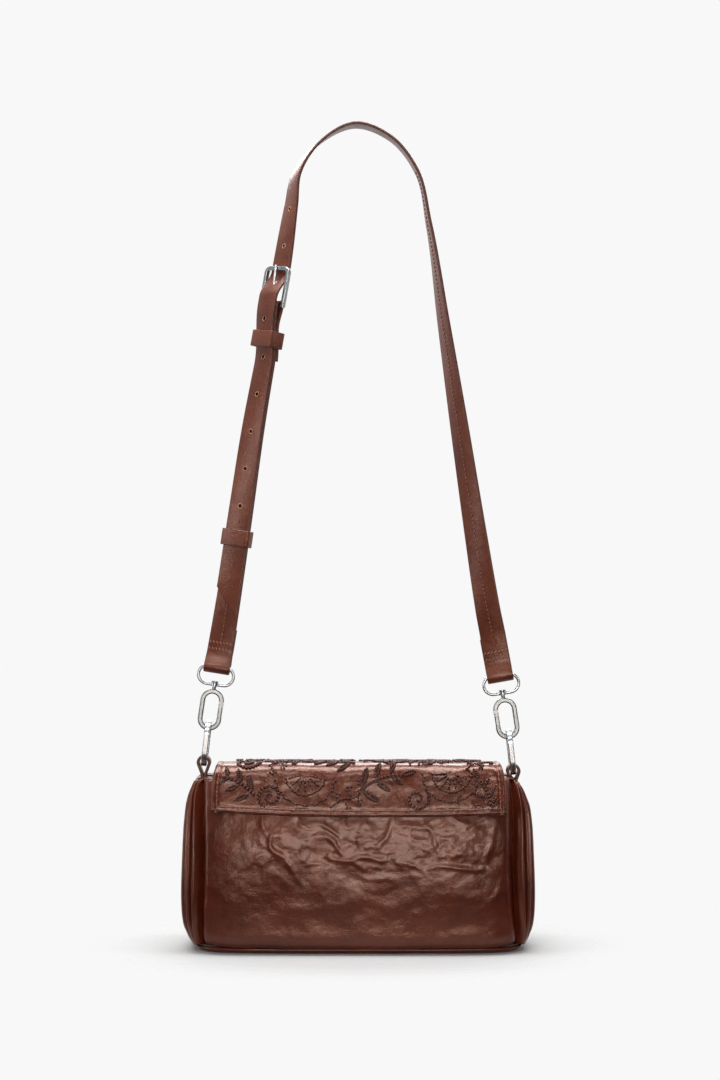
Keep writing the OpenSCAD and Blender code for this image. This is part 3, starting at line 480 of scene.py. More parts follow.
def panel(side):
    nx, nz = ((280, 130))

    def place(i, j):
        u, v = i / (nx - 1), j / (nz - 1)
        # the columns lie closer together towards both seams
        u -= 0.11 * sin(2 * pi * u) / (2 * pi)
        z = SEAM_Z + (PANEL_TOP - SEAM_Z) * v
        x = -groove_x(-1, z) + (groove_x(-1, z) + groove_x(1, z)) * u
        corner = max(0.0, 1 - min(u, 1 - u) / 0.12)
        lift = (2.6 * corner**2 - 0.9 * sin(pi * u)) * (1 - v) ** 6
        roll = max(0.0, (v - 0.985) / 0.015)
        relief = panel_relief(side, x, z) - 1.6 * roll**2
        end = -1 if x < 0 else 1
        out_x, out_y = outward(end, x, z)
        # at its seams the panel swells along the body's curve, elsewhere straight out
        share = bell(abs(groove_x(end, z) - abs(x)), 4)
        y = face_y(x, z) + (1 - share + out_y * share) * relief
        return x + out_x * share * relief, side * y, z + lift

    name = "back_panel" if side < 0 else "front_panel"
    P = grid(nx, nz, place)
    obj = shell(f"{name}_leather", P, BODY_SKIN, body_leather, "bag", toward=(0, side, 0))
    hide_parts(name)


# The gusset's pipes as seen from the front: place as a share of its shown width, height, width
PIPES = [(0.34, 1.8, 0.09), (0.49, -2.8, 0.045), (0.61, 1.5, 0.08), (0.75, -2.4, 0.045), (0.87, 1.1, 0.08)]


def gusset_relief(d, share, z, y):
    """A gusset's relief, at d along its curve from the seam and a share of its shown width."""
    fade = min(1, max(0, (z - 5) / 22))
    pipes = sum(high * bell(share - at, wide) for at, high, wide in PIPES)
    # the gusset's middle folds inwards towards the top
    tuck = 3.2 * bell(y, 5) * min(1, max(0, (z - 40) / 70))
    return fade * pipes - 6.0 * bell(d, 2.3) - tuck + 0.3 * fractal(y / 14, z / 30, 3.3, 3)


def gusset_row(side, z, count):
    """Points along the body's curve between a gusset's seams: run, x, y and outward direction of each."""
    w, d = half_width(side, z), half_depth(z)
    start = acos(min(0.9999, groove_x(side, z) / w) ** (POWER / 2))
    angles = np.linspace(-start, start, 400)
    c, s = np.cos(angles), np.sin(angles)
    x = side * w * np.abs(c) ** (2 / POWER)
    y = d * np.sign(s) * np.abs(s) ** (2 / POWER)
    run = np.concatenate([[0], np.cumsum(np.hypot(np.diff(x), np.diff(y)))])
    at = np.linspace(0, run[-1], count)
    xs, ys = np.interp(at, run, x), np.interp(at, run, y)
    tx, ty = np.gradient(xs), np.gradient(ys)
    size = np.hypot(tx, ty)
    out_x, out_y = side * ty / size, -side * tx / size
    if out_x[count // 2] * side < 0:
        out_x, out_y = -out_x, -out_y
    for i in (0, count - 1):
        gx, gy = outward(side, xs[i], z)
        out_x[i], out_y[i] = gx, copysign(gy, ys[i])
    return at, xs, ys, out_x, out_y


def gusset(side):
    dip = DIP_LEFT if side < 0 else DIP_RIGHT
    na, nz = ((150, 96))
    top = BODY_TOP - 0.4
    heights = [SEAM_Z + (top - SEAM_Z) * j / (nz - 1) for j in range(nz)]
    rows = [gusset_row(side, z, na) for z in heights]

    def place(i, j):
        z, v = heights[j], j / (nz - 1)
        at, xs, ys, out_x, out_y = rows[j]
        edge_x = groove_x(side, z)
        shown = (abs(xs[i]) - edge_x) / (half_width(side, z) - edge_x)
        r = gusset_relief(min(at[i], at[-1] - at[i]), shown, z, ys[i])
        share = 2 * abs(at[i] / at[-1] - 0.5)
        sink = dip * (1 - share**2) * max(0, (v - 0.8) / 0.2) ** 2
        lift = 3.0 * share**8 * (1 - v) ** 8
        return xs[i] + out_x[i] * r, ys[i] + out_y[i] * r, z - sink + lift

    name = "gusset_left" if side < 0 else "gusset_right"
    P = grid(na, nz, place)
    obj = shell(f"{name}_leather", P, BODY_SKIN, body_leather, "bag", toward=(side, 0, 0))
    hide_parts(name)
    # its top edge turns in and ends under the zip's facings
    tuck_rows, tuck_x, tuck_z = 9, side * 115.8, 127.9

    def tuck_place(i, k):
        x, y, z = P[i, nz - 1] - (side * 0.8, 0, 0.5)
        f = k / (tuck_rows - 1)
        drop = 0.9 * sin(pi * f)
        return x + (tuck_x - x) * f, y * (0.985 - 0.06 * f), z + (tuck_z - z) * ease(f) - drop

    T = grid(na, tuck_rows, tuck_place)
    tuck = shell(f"{name}_tuck", T, 0.8, body_leather, "bag", toward=(0, 0, 1))


def ring_outline(z, inset, count):
    """The body's outline at a height, moved in by inset."""
    points = []
    for a in ring(count):
        c, s = cos(a), sin(a)
        w = half_width(1 if c > 0 else -1, z) - inset
        d = half_depth(z) - inset
        points.append((w * copysign(abs(c) ** (2 / POWER), c), d * copysign(abs(s) ** (2 / POWER), s)))
    return points


def loft(name, levels, mats, body):
    """A closed loft through levels of (height, inset, height whose outline it takes)."""
    count = 128
    verts = []
    for z, inset, at in levels:
        verts += [(x, y, z) for x, y in ring_outline(at, inset, count)]
    faces = quads(len(levels) - 1, count)
    faces.append(tuple(range(count - 1, -1, -1)))
    faces.append(tuple((len(levels) - 1) * count + k for k in range(count)))
    return make(name, verts, faces, mats, body, angle=60)


def base_and_board():
    base_levels = [
        (0.0, 3.5, 0), (0.15, 2.2, 0), (1.0, 1.2, 1), (2.4, 1.0, 2.4),
        (3.4, 1.8, 3.4), (4.0, 3.4, 4), (3.2, 5.0, 4),
    ]
    base = loft("base_leather", base_levels, body_leather, "bag")
    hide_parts("base_panel")
    board = loft("base_board_skin", [(3.3, 4.2, 4), (5.2, 4.2, 5), (5.3, 4.8, 5)], board_mat, "bag")
    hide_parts("base_board")


def lining():
    """A cup of cloth with soft vertical folds, drawn in behind the body's four upright seams."""
    count, rows, low, high, thick = 160, 26, 5.6, 120.5, 0.8
    seam_x, seam_w, seam_depth = 117, 7, 8.5
    verts = []
    for inset, rise in ((2.9, 0), (2.9 + thick, thick)):
        for r in range(rows):
            v = r / (rows - 1)
            z = low + (rise if r == 0 else 0) + (high - low) * v
            for x, y in ring_outline(z, inset + 3.2 * (1 - v) ** 6, count):
                soft = 0.9 * fractal(x / 16, y / 16, z / 70, 3) * sin(pi * v)
                seam = seam_depth * bell(abs(x) - seam_x, seam_w)
                share = 1 + (soft - 0.6 - seam) / hypot(x, y)
                verts.append((x * share, y * share, z))
    walls = quads(rows - 1, count)
    inner = rows * count
    faces = walls + [tuple(inner + v for v in face) for face in walls]
    rim = inner - count
    for k in range(count):
        k2 = (k + 1) % count
        faces.append((rim + k, rim + k2, inner + rim + k2, inner + rim + k))
    faces.append(tuple(range(count)))
    faces.append(tuple(inner + k for k in range(count)))
    cup = make("lining_cup", verts, faces, lining_cloth, "bag")
    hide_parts("lining")


def slip_pocket():
    """A flat pocket on the front lining, with a turned hem along its top."""
    nx, nz, half, low, height = 61, 32, 60, 27.8, 62

    def place(i, j):
        x = half * (-1 + 2 * i / (nx - 1))
        z = low + height * j / (nz - 1)
        hem = 0.5 if j > nz - 5 else 0.0
        slack = 0.5 * sin(pi * i / (nx - 1)) * (j / nz) + 0.2 * fractal(x / 9, z / 9, 5)
        return x, face_y(x, z) - 5.1 - hem - slack, z

    P = grid(nx, nz, place)
    pocket = shell("slip_pocket_cloth", P, 0.7, lining_cloth, "bag", toward=(0, 1, 0))
    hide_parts("slip_pocket")


# The flap

FLAP_T = 2.2
FLAP_HALF_W = 110.7
FLAP_TOP = 141.3
FLAP_SAG = 3.2
BACK_EDGE, FRONT_EDGE = 104.4, 40.4
# how far the flap's outer face lies outside the body's curve, at the back and at the front
BACK_OUT, FRONT_OUT = 2.95, 6.9
BACK_HINGE_Y, FRONT_HINGE_Y = -29.05, 33.25
CORNER_R = 20
EDGE_SEAM = 4.6


def arc(x, y, rx, ry, degrees):
    """Points of an ellipse round (x, y) at the given angles."""
    return [(x + rx * cos(radians(a)), y + ry * sin(radians(a))) for a in degrees]


def flap_path():
    """The flap's outer line in the YZ plane from the short end's edge over the top to the long end's edge."""
    points = [(-half_depth(z) - BACK_OUT, z) for z in np.linspace(BACK_EDGE, 127.6, 24)]
    r = 12.6
    middle = BACK_HINGE_Y - 1.3 + r
    points += arc(middle, FLAP_TOP - r, r, r, np.linspace(177, 90, 14))
    for y in np.linspace(middle + 2, FRONT_HINGE_Y - 8, 26):
        points.append((y, FLAP_TOP - FLAP_SAG * ease((y + 16) / 44)))
    r = 6 + FLAP_T / 2
    points += arc(FRONT_HINGE_Y - 6, 134.2 - FLAP_SAG, r + 0.2, r, np.linspace(90, 8, 14))
    points += [(half_depth(z) + FRONT_OUT, z) for z in np.linspace(127.5, FRONT_EDGE, 60)]
    return np.array(points)


PATH = flap_path()
RUN = np.concatenate([[0], np.cumsum(np.hypot(np.diff(PATH[:, 0]), np.diff(PATH[:, 1])))])
FLAP_L = float(RUN[-1])
# the middle of the back fold's arc, and the place on the flat top where the skin's two pieces meet
BACK_FOLD = float(RUN[24 + 7])
MID_RUN = float(np.interp(2.0, PATH[36:66, 0], RUN[36:66]))


def flap_half_w(side, run):
    """The flap is a little narrower over the top than at its ends."""
    return FLAP_HALF_W - (3.4 if side < 0 else 3.8) * bell(run - MID_RUN, 34, 4)


def path_at(run):
    return np.interp(run, RUN, PATH[:, 0]), np.interp(run, RUN, PATH[:, 1])


def flap_surface(x, run):
    """A place on the flap's outer face, and its outward normal, in millimetres."""
    y, z = path_at(run)
    (y1, z1), (y2, z2) = path_at(run - 1.2), path_at(run + 1.2)
    size = hypot(y2 - y1, z2 - z1) or 1
    n = (0.0, (z1 - z2) / size, (y2 - y1) / size)
    calm = max(0.25, min(1.0, run / 10, (FLAP_L - run) / 10))
    swell = 0.75 * fractal(x / 34, run / 24, 0.4, 3) * calm + 0.34 * fractal(x / 10, run / 7, 7.7, 3)
    fold = 1.3 * bell(run - BACK_FOLD + 2, 10) * sin(x / 15 + 1.1 * sin(x / 37))
    inset = min(run, FLAP_L - run, flap_half_w(-1 if x < 0 else 1, run) - abs(x))
    lip = 0.3 * bell(inset - 2, 1.5) - 0.5 * bell(inset - EDGE_SEAM, 0.9)
    off = swell + fold + lip
    # the short end's lower edge hangs as photographed, lower to the left
    sag = -1.6 * cos(pi * (x - 12) / 240) + 2.4 * max(0, -x / 111) ** 2 + 0.6 * max(0, x - 60) / 50
    drop = max(0, 1 - run / BACK_FOLD) * sag
    return Vector((x, y + n[1] * off, z + n[2] * off + drop)), Vector(n)


def round_over(q, r):
    """How far an edge rounded with radius r falls away, at a share q of its width."""
    return r * (1 - sqrt(max(0, 1 - max(0, q) ** 2)))


def flap_skin(name, run_from, run_to, steps):
    """The leather between two runs of the flap, with its rolled edges and a step where they are sewn."""
    nx = 200
    thick, edge_r, edge_span = FLAP_T + 0.4, 1.25, 110
    verts = []
    for s in range(steps + 1):
        run = run_from + (run_to - run_from) * s / steps
        deep = run - (FLAP_L - CORNER_R)
        top, low = [], []
        for i in range(nx):
            u = -1 + 2 * i / (nx - 1)
            x = u * flap_half_w(-1 if u < 0 else 1, run)
            if deep > 0:
                x = u * (FLAP_HALF_W - CORNER_R + sqrt(max(0, CORNER_R**2 - deep**2)))
            edges = (min(run, FLAP_L - run), (1 - abs(u)) * edge_span)
            drop = max(round_over(1 - d / edge_r, edge_r) for d in edges)
            bound = sum(0.35 * bell(d - 3.9, 0.8) for d in edges)
            place, normal = flap_surface(x, run)
            top.append(place - normal * (drop + bound))
            low.append(place - normal * (thick - drop))
        verts += top + low[::-1]
    k = 2 * nx
    faces = quads(steps, k)
    for base in (0, steps * k):
        faces += [(base + j, base + j + 1, base + k - 2 - j, base + k - 1 - j) for j in range(nx - 1)]
    return make(name, verts, faces, flap_leather)


# The motifs of the flap's embroidery are lists of strokes in millimetres


def polar(r, a):
    return r * cos(a), r * sin(a)


def turned(points, angle, x0, y0, scale=1.0):
    """Points turned about the origin, scaled and then moved."""
    c, s = cos(angle), sin(angle)
    return [(x0 + scale * (x * c - y * s), y0 + scale * (x * s + y * c)) for x, y in points]


def satin(cx, cy, a, b, turn):
    """Close stitches across an ellipse, slanted like a leaf's veins."""
    strokes = []
    count = max(3, round(2 * a / 1.25))
    for k in range(count):
        t = -0.92 + 1.84 * k / (count - 1)
        half = b * sqrt(1 - t * t)
        strokes.append(turned([(a * t - 0.25 * half, -half), (a * t + 0.25 * half, half)], turn, cx, cy))
    return strokes


def sprig(length, pairs, leaf, bend):
    """A bent stem with pairs of satin-stitched leaves and a bud."""
    stem = [(bend * sin(pi * t / 12) * length / 10, length * (t / 12 - 0.5)) for t in range(13)]
    strokes = [stem, [(x + 0.9, y) for x, y in stem]]
    for p in range(pairs):
        t = (p + 0.5) / (pairs + 0.3)
        x, y = stem[min(11, int(t * 12))]
        for side in (-1, 1):
            size = leaf * (1 - 0.4 * t)
            lean = radians(90 - side * 52)
            strokes += satin(x + side * size * 0.66, y + size * 0.5, size * 0.6, size * 0.26, lean)
    x, y = stem[-1]
    return strokes + satin(x, y + leaf * 0.45, leaf * 0.45, leaf * 0.22, pi / 2)


def spiral(turns, size):
    strokes = []
    for shift in (0.0, 0.13):
        line = []
        for k in range(40):
            t = k / 39
            line.append(polar(size * (0.1 + 0.9 * t) * (1 - shift), 2 * pi * turns * t))
        strokes.append(line)
    return strokes


def lattice(cells, size):
    strokes = []
    for i in range(cells + 1):
        a = size * (i / cells - 0.5)
        strokes.append([(a, -size / 2), (a, size / 2)])
        strokes.append([(-size / 2, a), (size / 2, a)])
    for i in range(cells):
        for j in range(cells):
            if (i + j) % 2:
                x, y = size * ((i + 0.5) / cells - 0.5), size * ((j + 0.5) / cells - 0.5)
                strokes += satin(x, y, size / cells * 0.36, size / cells * 0.36, 0)
    return strokes


def berries(count, reach):
    """Round berries on short stalks along a bent twig."""
    strokes = [[(-reach, -reach * 0.5), (-reach * 0.3, 0), (reach * 0.3, 0.1), (reach, reach * 0.6)]]
    for k in range(count):
        t = (k + 0.5) / count
        x, y = reach * (2 * t - 1), reach * (1.1 * t - 0.55)
        side = 1 if k % 2 else -1
        strokes.append([(x, y), (x - side * reach * 0.1, y + side * reach * 0.3)])
        strokes += satin(x - side * reach * 0.14, y + side * reach * 0.46, reach * 0.19, reach * 0.19, t)
    return strokes


def shell_fan(size, rows):
    """A fan of ribs between scalloped arcs."""
    strokes = []
    for r in (rows - 1, rows):
        radius = size * r / rows
        scallops = [radius * (1 + 0.05 * cos(k * pi / 2.5)) for k in range(41)]
        strokes.append([polar(wave, radians(8 + 164 * k / 40)) for k, wave in enumerate(scallops)])
    for k in range(2 * rows + 1):
        q = radians(14 + 152 * k / (2 * rows))
        strokes.append([polar(size * f, q) for f in (0.16, 0.58)])
    return [[(x, y - size * 0.45) for x, y in stroke] for stroke in strokes]


def flap_motifs():
    """The motifs and where they lie: strokes, x, run, turn in degrees, scale."""
    e = BACK_FOLD
    rows = [
        (sprig(26, 3, 9, 1), -92, e - 15, 62, 1.0), (spiral(1.7, 9), -66, e - 22, 10, 1.0),
        (shell_fan(19, 3), -40, e - 16, 180, 1.0), (berries(6, 11), -8, e - 23, 0, 1.0),
        (sprig(30, 3, 10, -1), 16, e - 12, -70, 1.0), (spiral(1.6, 8.5), 44, e - 23, 200, 1.0),
        (shell_fan(18, 3), 68, e - 14, 170, 1.0), (sprig(22, 3, 8, 1), 94, e - 22, 20, 1.0),
        (berries(5, 9), 90, e + 5, 10, 1.0), (spiral(1.7, 9), -84, e + 9, 120, 1.0),
        (berries(6, 10), -56, e + 7, 0, 1.0), (sprig(26, 3, 9, 1), -18, e + 9, 80, 1.0),
        (lattice(3, 13), 24, e + 14, 45, 1.0), (shell_fan(17, 3), 56, e + 15, 20, 1.0),
    ]
    kinds = [
        lambda: sprig(32, 4, 10, 1), lambda: spiral(1.9, 12), lambda: shell_fan(20, 3),
        lambda: berries(7, 14), lambda: lattice(4, 18), lambda: sprig(28, 3, 10, -1),
    ]
    pick = random.Random(5)
    lines = np.linspace(e + 33, FLAP_L - 21, 5)
    for r, run in enumerate(lines):
        for c in range(6):
            x = -97 + 36 * c + (15 if r % 2 else 0)
            if abs(x) > 94:
                continue
            turn = 60 * ((c + 2 * r) % 6) + pick.uniform(-15, 15)
            rows.append((kinds[(c * 2 + r * 3) % 6](), x, float(run) + pick.uniform(-2, 2), turn, 0.72))
    return rows


MOTIF_SCALE = 1.2
MOTIF_THREAD_D, MOTIF_STITCH_L, MOTIF_LIFT = 1.45, 2.8, 0.35
MOTIF_HALF_W = 105
EDGE_THREAD_D, EDGE_PITCH, EDGE_STITCH_L = 0.75, 3.4, 2.448


def sew(threads, strokes, x0, run0, turn, scale, keep):
    """Sews a motif's strokes, where keep holds and the flap's edge is clear."""
    for stroke in strokes:
        xs, runs = zip(*turned(stroke, radians(turn), x0, run0, scale))
        way = [0.0]
        for k in range(1, len(xs)):
            way.append(way[-1] + hypot(xs[k] - xs[k - 1], runs[k] - runs[k - 1]))
        count = max(1, round(way[-1] / MOTIF_STITCH_L))
        for k in range(count):
            ends = []
            for t in (k / count, (k + 0.94) / count):
                ends.append([float(np.interp(t * way[-1], way, line)) for line in (xs, runs)])
            if any(abs(x) > MOTIF_HALF_W or not keep(r) or r < 5 or r > FLAP_L - 6 for x, r in ends):
                continue
            (pa, na), (pb, nb) = flap_surface(*ends[0]), flap_surface(*ends[1])
            threads.stitch(pa + na * MOTIF_LIFT, pb + nb * MOTIF_LIFT, na + nb, MOTIF_THREAD_D, 0.5)


def edge_stitches(threads, keep):
    """The topstitch inside the bound edge, along both sides and both ends."""

    def stitch(x, run, x2, run2):
        (pa, na), (pb, _) = flap_surface(x, run), flap_surface(x2, run2)
        threads.stitch(pa, pb, na, EDGE_THREAD_D)

    run = EDGE_SEAM
    while run < FLAP_L - 24:
        if keep(run):
            for side in (-1, 1):
                x = side * (flap_half_w(side, run) - EDGE_SEAM)
                stitch(x, run, x, run + EDGE_STITCH_L)
        run += EDGE_PITCH
    for end, reach in ((EDGE_SEAM, 106), (FLAP_L - EDGE_SEAM, 92)):
        x = -reach
        while keep(end) and x < reach:
            stitch(x, end, x + EDGE_STITCH_L, end)
            x += EDGE_PITCH


def flap():
    motifs = flap_motifs()
    # each piece of the skin: its runs and rows, the bodies it joins, and where its bend starts and ends
    for tag, run_from, run_to, steps, pair, start, end in (
        ("short", 0.0, MID_RUN, 46, ("bag", "flap_upper"), (0, -0.031, 0.1270), (0, -0.031, 0.1390)),
        ("long", MID_RUN, FLAP_L, 84, ("flap_upper", "flap_lower"), (0, 0.035, 0.1365), (0, 0.035, 0.1295)),
    ):

        def keep(run):
            return (run <= MID_RUN) == (tag == "short")

        skin = flap_skin(f"flap_{tag}_leather", run_from, run_to, steps)
        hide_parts(*(("flap_back",) if tag == "short" else ("flap_top", "flap_front")))
        embroidery, seams = Threads(), Threads()
        for strokes, x, run, turn, scale in motifs:
            sew(embroidery, strokes, x, run, turn, scale * MOTIF_SCALE, keep)
        edge_stitches(seams, keep)
        work = embroidery.build(f"flap_{tag}_embroidery", thread_dark)
        row = seams.build(f"flap_{tag}_topstitch", thread_brown)
        for obj in (skin, work, row):
            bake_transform(obj)


def flap_linings():
    """Thin cloth under the flap's top and behind its long end."""
    nx, nr, half_w, corner_r, corner_l = 60, 24, 105.5, 17, 22
    for name, node, run_from, run_to, body, toward in (
        ("flap_top_lining", "flap_lining_top", BACK_FOLD + 4, BACK_FOLD + 56, "flap_upper", (0, 0, 1)),
        ("flap_long_lining", "flap_lining_front", BACK_FOLD + 76, FLAP_L - 5, "flap_lower", (0, 1, 0)),
    ):

        def place(i, j):
            run = run_from + (run_to - run_from) * j / (nr - 1)
            deep = min(corner_r, max(0, run - (FLAP_L - corner_l)))
            half = half_w - corner_r + sqrt(corner_r**2 - deep**2)
            p, n = flap_surface(half * (-1 + 2 * i / (nx - 1)), run)
            return p - n * (FLAP_T + 0.55)

        obj = shell(name, grid(nx, nr, place), 0.6, lining_cloth, body, toward)
        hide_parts(node)


# The strap

# The strap's middle line: X, Z and its turn about that line in degrees
FOOT_L = (-108.153, 212.684, 87)
FOOT_R = (108.153, 205.984, -87)
ROUTE = np.array([
    FOOT_L, (-101, 258, 72), (-90.3, 330, 62), (-80.5, 396, 52), (-70, 455, 42), (-57, 530, 42),
    (-51.5, 566, 30), (-47.5, 590, 20), (-31.5, 612.5, 8), (-2, 627.5, 0), (25, 617, 0),
    (44.5, 592, -1), (53.7, 552, -6), (64.8, 478, -21), (77.2, 396, -38), (89.8, 313, -53),
    (97.6, 264, -65), FOOT_R,
])
CHORDS = np.hypot(np.diff(ROUTE[:, 0]), np.diff(ROUTE[:, 1]))
KNOTS = np.concatenate([[0], np.cumsum(CHORDS)])
ROUTE_L = float(KNOTS[-1])


def knot_slope(i):
    """The route's slope at a knot: the mean of both chords, weighted by the other's length."""
    if i in (0, len(CHORDS)):
        k = min(i, len(CHORDS) - 1)
        return (ROUTE[k + 1] - ROUTE[k]) / CHORDS[k]
    a, b = CHORDS[i - 1], CHORDS[i]
    return ((ROUTE[i + 1] - ROUTE[i]) / b * a + (ROUTE[i] - ROUTE[i - 1]) / a * b) / (a + b)


SLOPES = [knot_slope(i) for i in range(len(ROUTE))]


def route_at(s):
    """X, Z and the strap's turn in degrees at a length along the route, straight on past its ends."""
    i = min(len(ROUTE) - 2, max(0, int(np.sum(KNOTS <= s)) - 1))
    h = CHORDS[i]
    u = (s - KNOTS[i]) / h
    if u < 0:
        return ROUTE[0] + SLOPES[0] * s
    if u > 1:
        return ROUTE[-1] + SLOPES[-1] * (s - ROUTE_L)
    return hermite(u, ROUTE[i], ROUTE[i + 1], SLOPES[i] * h, SLOPES[i + 1] * h)


def frame_at(s):
    """Place, direction, face normal and width direction on the strap's route."""
    p = route_at(s)
    d = route_at(s + 0.5)[:2] - route_at(s - 0.5)[:2]
    d = d / np.linalg.norm(d)
    q = radians(p[2])
    out = Vector((-d[1], 0, d[0]))
    across = Vector((0, 1, 0))
    return (
        Vector((p[0], 0, p[1])), Vector((d[0], 0, d[1])),
        out * cos(q) - across * sin(q), across * cos(q) + out * sin(q),
    )


def s_at_z(z):
    low, high = 0.0, 400.0
    while high - low > 0.01:
        mid = (low + high) / 2
        if route_at(mid)[1] < z:
            low = mid
        else:
            high = mid
    return low


STRAP_W, STRAP_T, LAYER_N = 20, 2.2, 1.25
BUCKLE_L = 28.5
HEEL_S = s_at_z(489)
FAR_S = HEEL_S + BUCKLE_L
BUCKLE_N = STRAP_T / 2 + 0.25 + 1.6
HEEL_R = 1.3 + 0.4 + STRAP_T / 2
OVER_HEEL_N = BUCKLE_N + HEEL_R + STRAP_T + 0.2
SETTLE_L = 46
TIP_S = s_at_z(252)
FOLD_R = 1.2 + 1.4 + STRAP_T / 2
FOLD_L, FOLD_CLOSE = 30, 12
# places where the folded ends close up towards the strap
CLOSING = [FOLD_CLOSE * (1 - k / 4) for k in (1, 2, 3)]
HEEL_BACK_L = 42
HOLE_D, PRONG_HOLE_D, HOLE_PITCH, PRONG_HOLE = 3.6, 4.4, 28.8, 2
HOLES = [HEEL_S + 17.5 + (PRONG_HOLE - k) * HOLE_PITCH for k in range(9)]
TIP_L, TIP_CUT, TIP_SLANT = 34, 11, 1.05
STRAP_STITCH_PITCH, STRAP_STITCH_L = 3.2, 2.112
CROSS_SEAMS = (18.5, 13.5)
FIXED_KEEPER_Z, SLIDING_KEEPER_Z = 463, 311.5


# How far each strap's middle lies from the route, along its face normal


def long_n(s):
    if s < HEEL_S:
        return LAYER_N + (OVER_HEEL_N - LAYER_N) * ease((s - HEEL_S + SETTLE_L) / SETTLE_L)
    return OVER_HEEL_N * (1 - ease((s - HEEL_S - 6) / (BUCKLE_L - 8)))


def short_n(s):
    return (
        -LAYER_N + (BUCKLE_N + HEEL_R + LAYER_N) * ease((s - HEEL_S + SETTLE_L) / SETTLE_L)
        + (FOLD_R + LAYER_N) * (1 - ease(s / FOLD_CLOSE))
    )


def back_short_n(s):
    return short_n(s) - 2 * HEEL_R + (2 * HEEL_R - 2 * LAYER_N) * ease((HEEL_S - s) / HEEL_BACK_L / 0.45)


def fold_front(u):
    return LAYER_N + (FOLD_R - LAYER_N) * (1 - ease(u / FOLD_CLOSE))


def station(s, n, flip=1):
    place, _, normal, width = frame_at(s)
    return (place + normal * n, width, normal * flip)


def half_turn(s, n_mid, r, way):
    """Stations round a fold of the strap, from its face over to its back."""
    place, d, normal, width = frame_at(s)
    result = []
    for k in range(13):
        a = pi * k / 12
        out = normal * cos(a) + d * way * sin(a)
        result.append((place + normal * n_mid + out * r, width, out))
    return result


def samples(a, b, step=2.5):
    n = max(2, ceil(abs(b - a) / step))
    return [a + (b - a) * k / n for k in range(n + 1)]


def cut_holes(obj, cutters):
    for cutter in cutters:
        modifier = obj.modifiers.new("hole", "BOOLEAN")
        modifier.operation = "DIFFERENCE"
        modifier.solver = "EXACT"
        modifier.object = cutter
    depsgraph = bpy.context.evaluated_depsgraph_get()
    mesh = bpy.data.meshes.new_from_object(obj.evaluated_get(depsgraph))
    obj.modifiers.clear()
    old = obj.data
    obj.data = mesh
    bpy.data.meshes.remove(old)
    for cutter in cutters:
        bpy.data.objects.remove(cutter)
    obj.data.set_sharp_from_angle(angle=radians(50))


def hole_cutter(s, d):
    """A round bar through the long strap."""
    place, direction, normal, width = frame_at(s)
    centre = place + normal * long_n(s)
    verts, k = [], 20
    for end in (-5, 5):
        for a in ring(k):
            verts.append(centre + normal * end + (width * cos(a) + direction * sin(a)) * (d / 2))
    faces = quads(1, k) + [tuple(range(k - 1, -1, -1)), tuple(range(k, 2 * k))]
    return make("cutter", verts, faces, strap_leather)


def rim(s):
    """The rim of a punched hole, light partly for its raw leather and partly as a painted highlight along the
    edge.
    """
    place, direction, normal, width = frame_at(s)
    centre = place + normal * (long_n(s) + STRAP_T / 2 - 0.05)
    outs = [width * cos(a) + direction * sin(a) for a in ring(20)]
    return [(centre + out * (HOLE_D / 2 - 0.02), out, normal) for out in outs]


STRAP_SECTION = rounded(STRAP_W, STRAP_T, 0.8, 3)
STRAP_SKIN = [strap_leather, edge_paint]


def long_strap():
    """The long strap: folded round the right swivel ring, up over the top and through the buckle."""
    foot = ROUTE_L
    runs = samples(foot - 0.01, foot - FOLD_CLOSE) + samples(foot - FOLD_CLOSE - 2.5, FAR_S + 12)
    runs += samples(FAR_S + 10, HEEL_S - SETTLE_L, 1.8) + samples(HEEL_S - SETTLE_L - 2.5, TIP_S)

    def outer_n(s):
        if s > foot - FOLD_CLOSE:
            return fold_front(foot - s)
        if s > foot - FOLD_L - 20:
            return LAYER_N * ease((s - foot + FOLD_L + 20) / 20)
        return long_n(s)

    inner = [station(s, -LAYER_N, -1) for s in samples(foot - FOLD_L, foot - FOLD_CLOSE)]
    inner += [station(foot - u, -fold_front(u), -1) for u in CLOSING]
    outer = [station(s, outer_n(s)) for s in runs]
    line = inner + half_turn(foot, 0, FOLD_R, 1)[::-1] + outer[1:]
    obj = sweep("strap_long_leather", line, STRAP_SECTION, STRAP_SKIN, None, edge_from=9.4)
    # the tail's slanted tip: the last stations shear along the strap
    tip_place, tip_dir, _, tip_width = frame_at(TIP_S)
    for v in obj.data.vertices:
        p = v.co / MM
        along, w = (p - tip_place).dot(tip_dir), (p - tip_place).dot(tip_width)
        if p.x < -60 and p.z < 300 and along < TIP_L and abs(w) < 12:
            share = 1 - max(0, along) / TIP_L
            v.co = v.co + tip_dir * (share * (TIP_CUT + TIP_SLANT * w) * MM)
    cut_holes(obj, [hole_cutter(s, PRONG_HOLE_D if k == PRONG_HOLE else HOLE_D) for k, s in enumerate(HOLES)])
    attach(obj, "strap")
    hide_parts("strap_long")
    wire = rounded(0.5, 0.5, 0.2, 2)
    # light rings round the holes, partly raw leather colour and partly painted highlight
    for k, s in enumerate(HOLES):
        if k != PRONG_HOLE:
            obj = sweep(f"hole_rim_{k + 1}", rim(s), wire, raw_edge_and_highlight, "strap", closed=True)


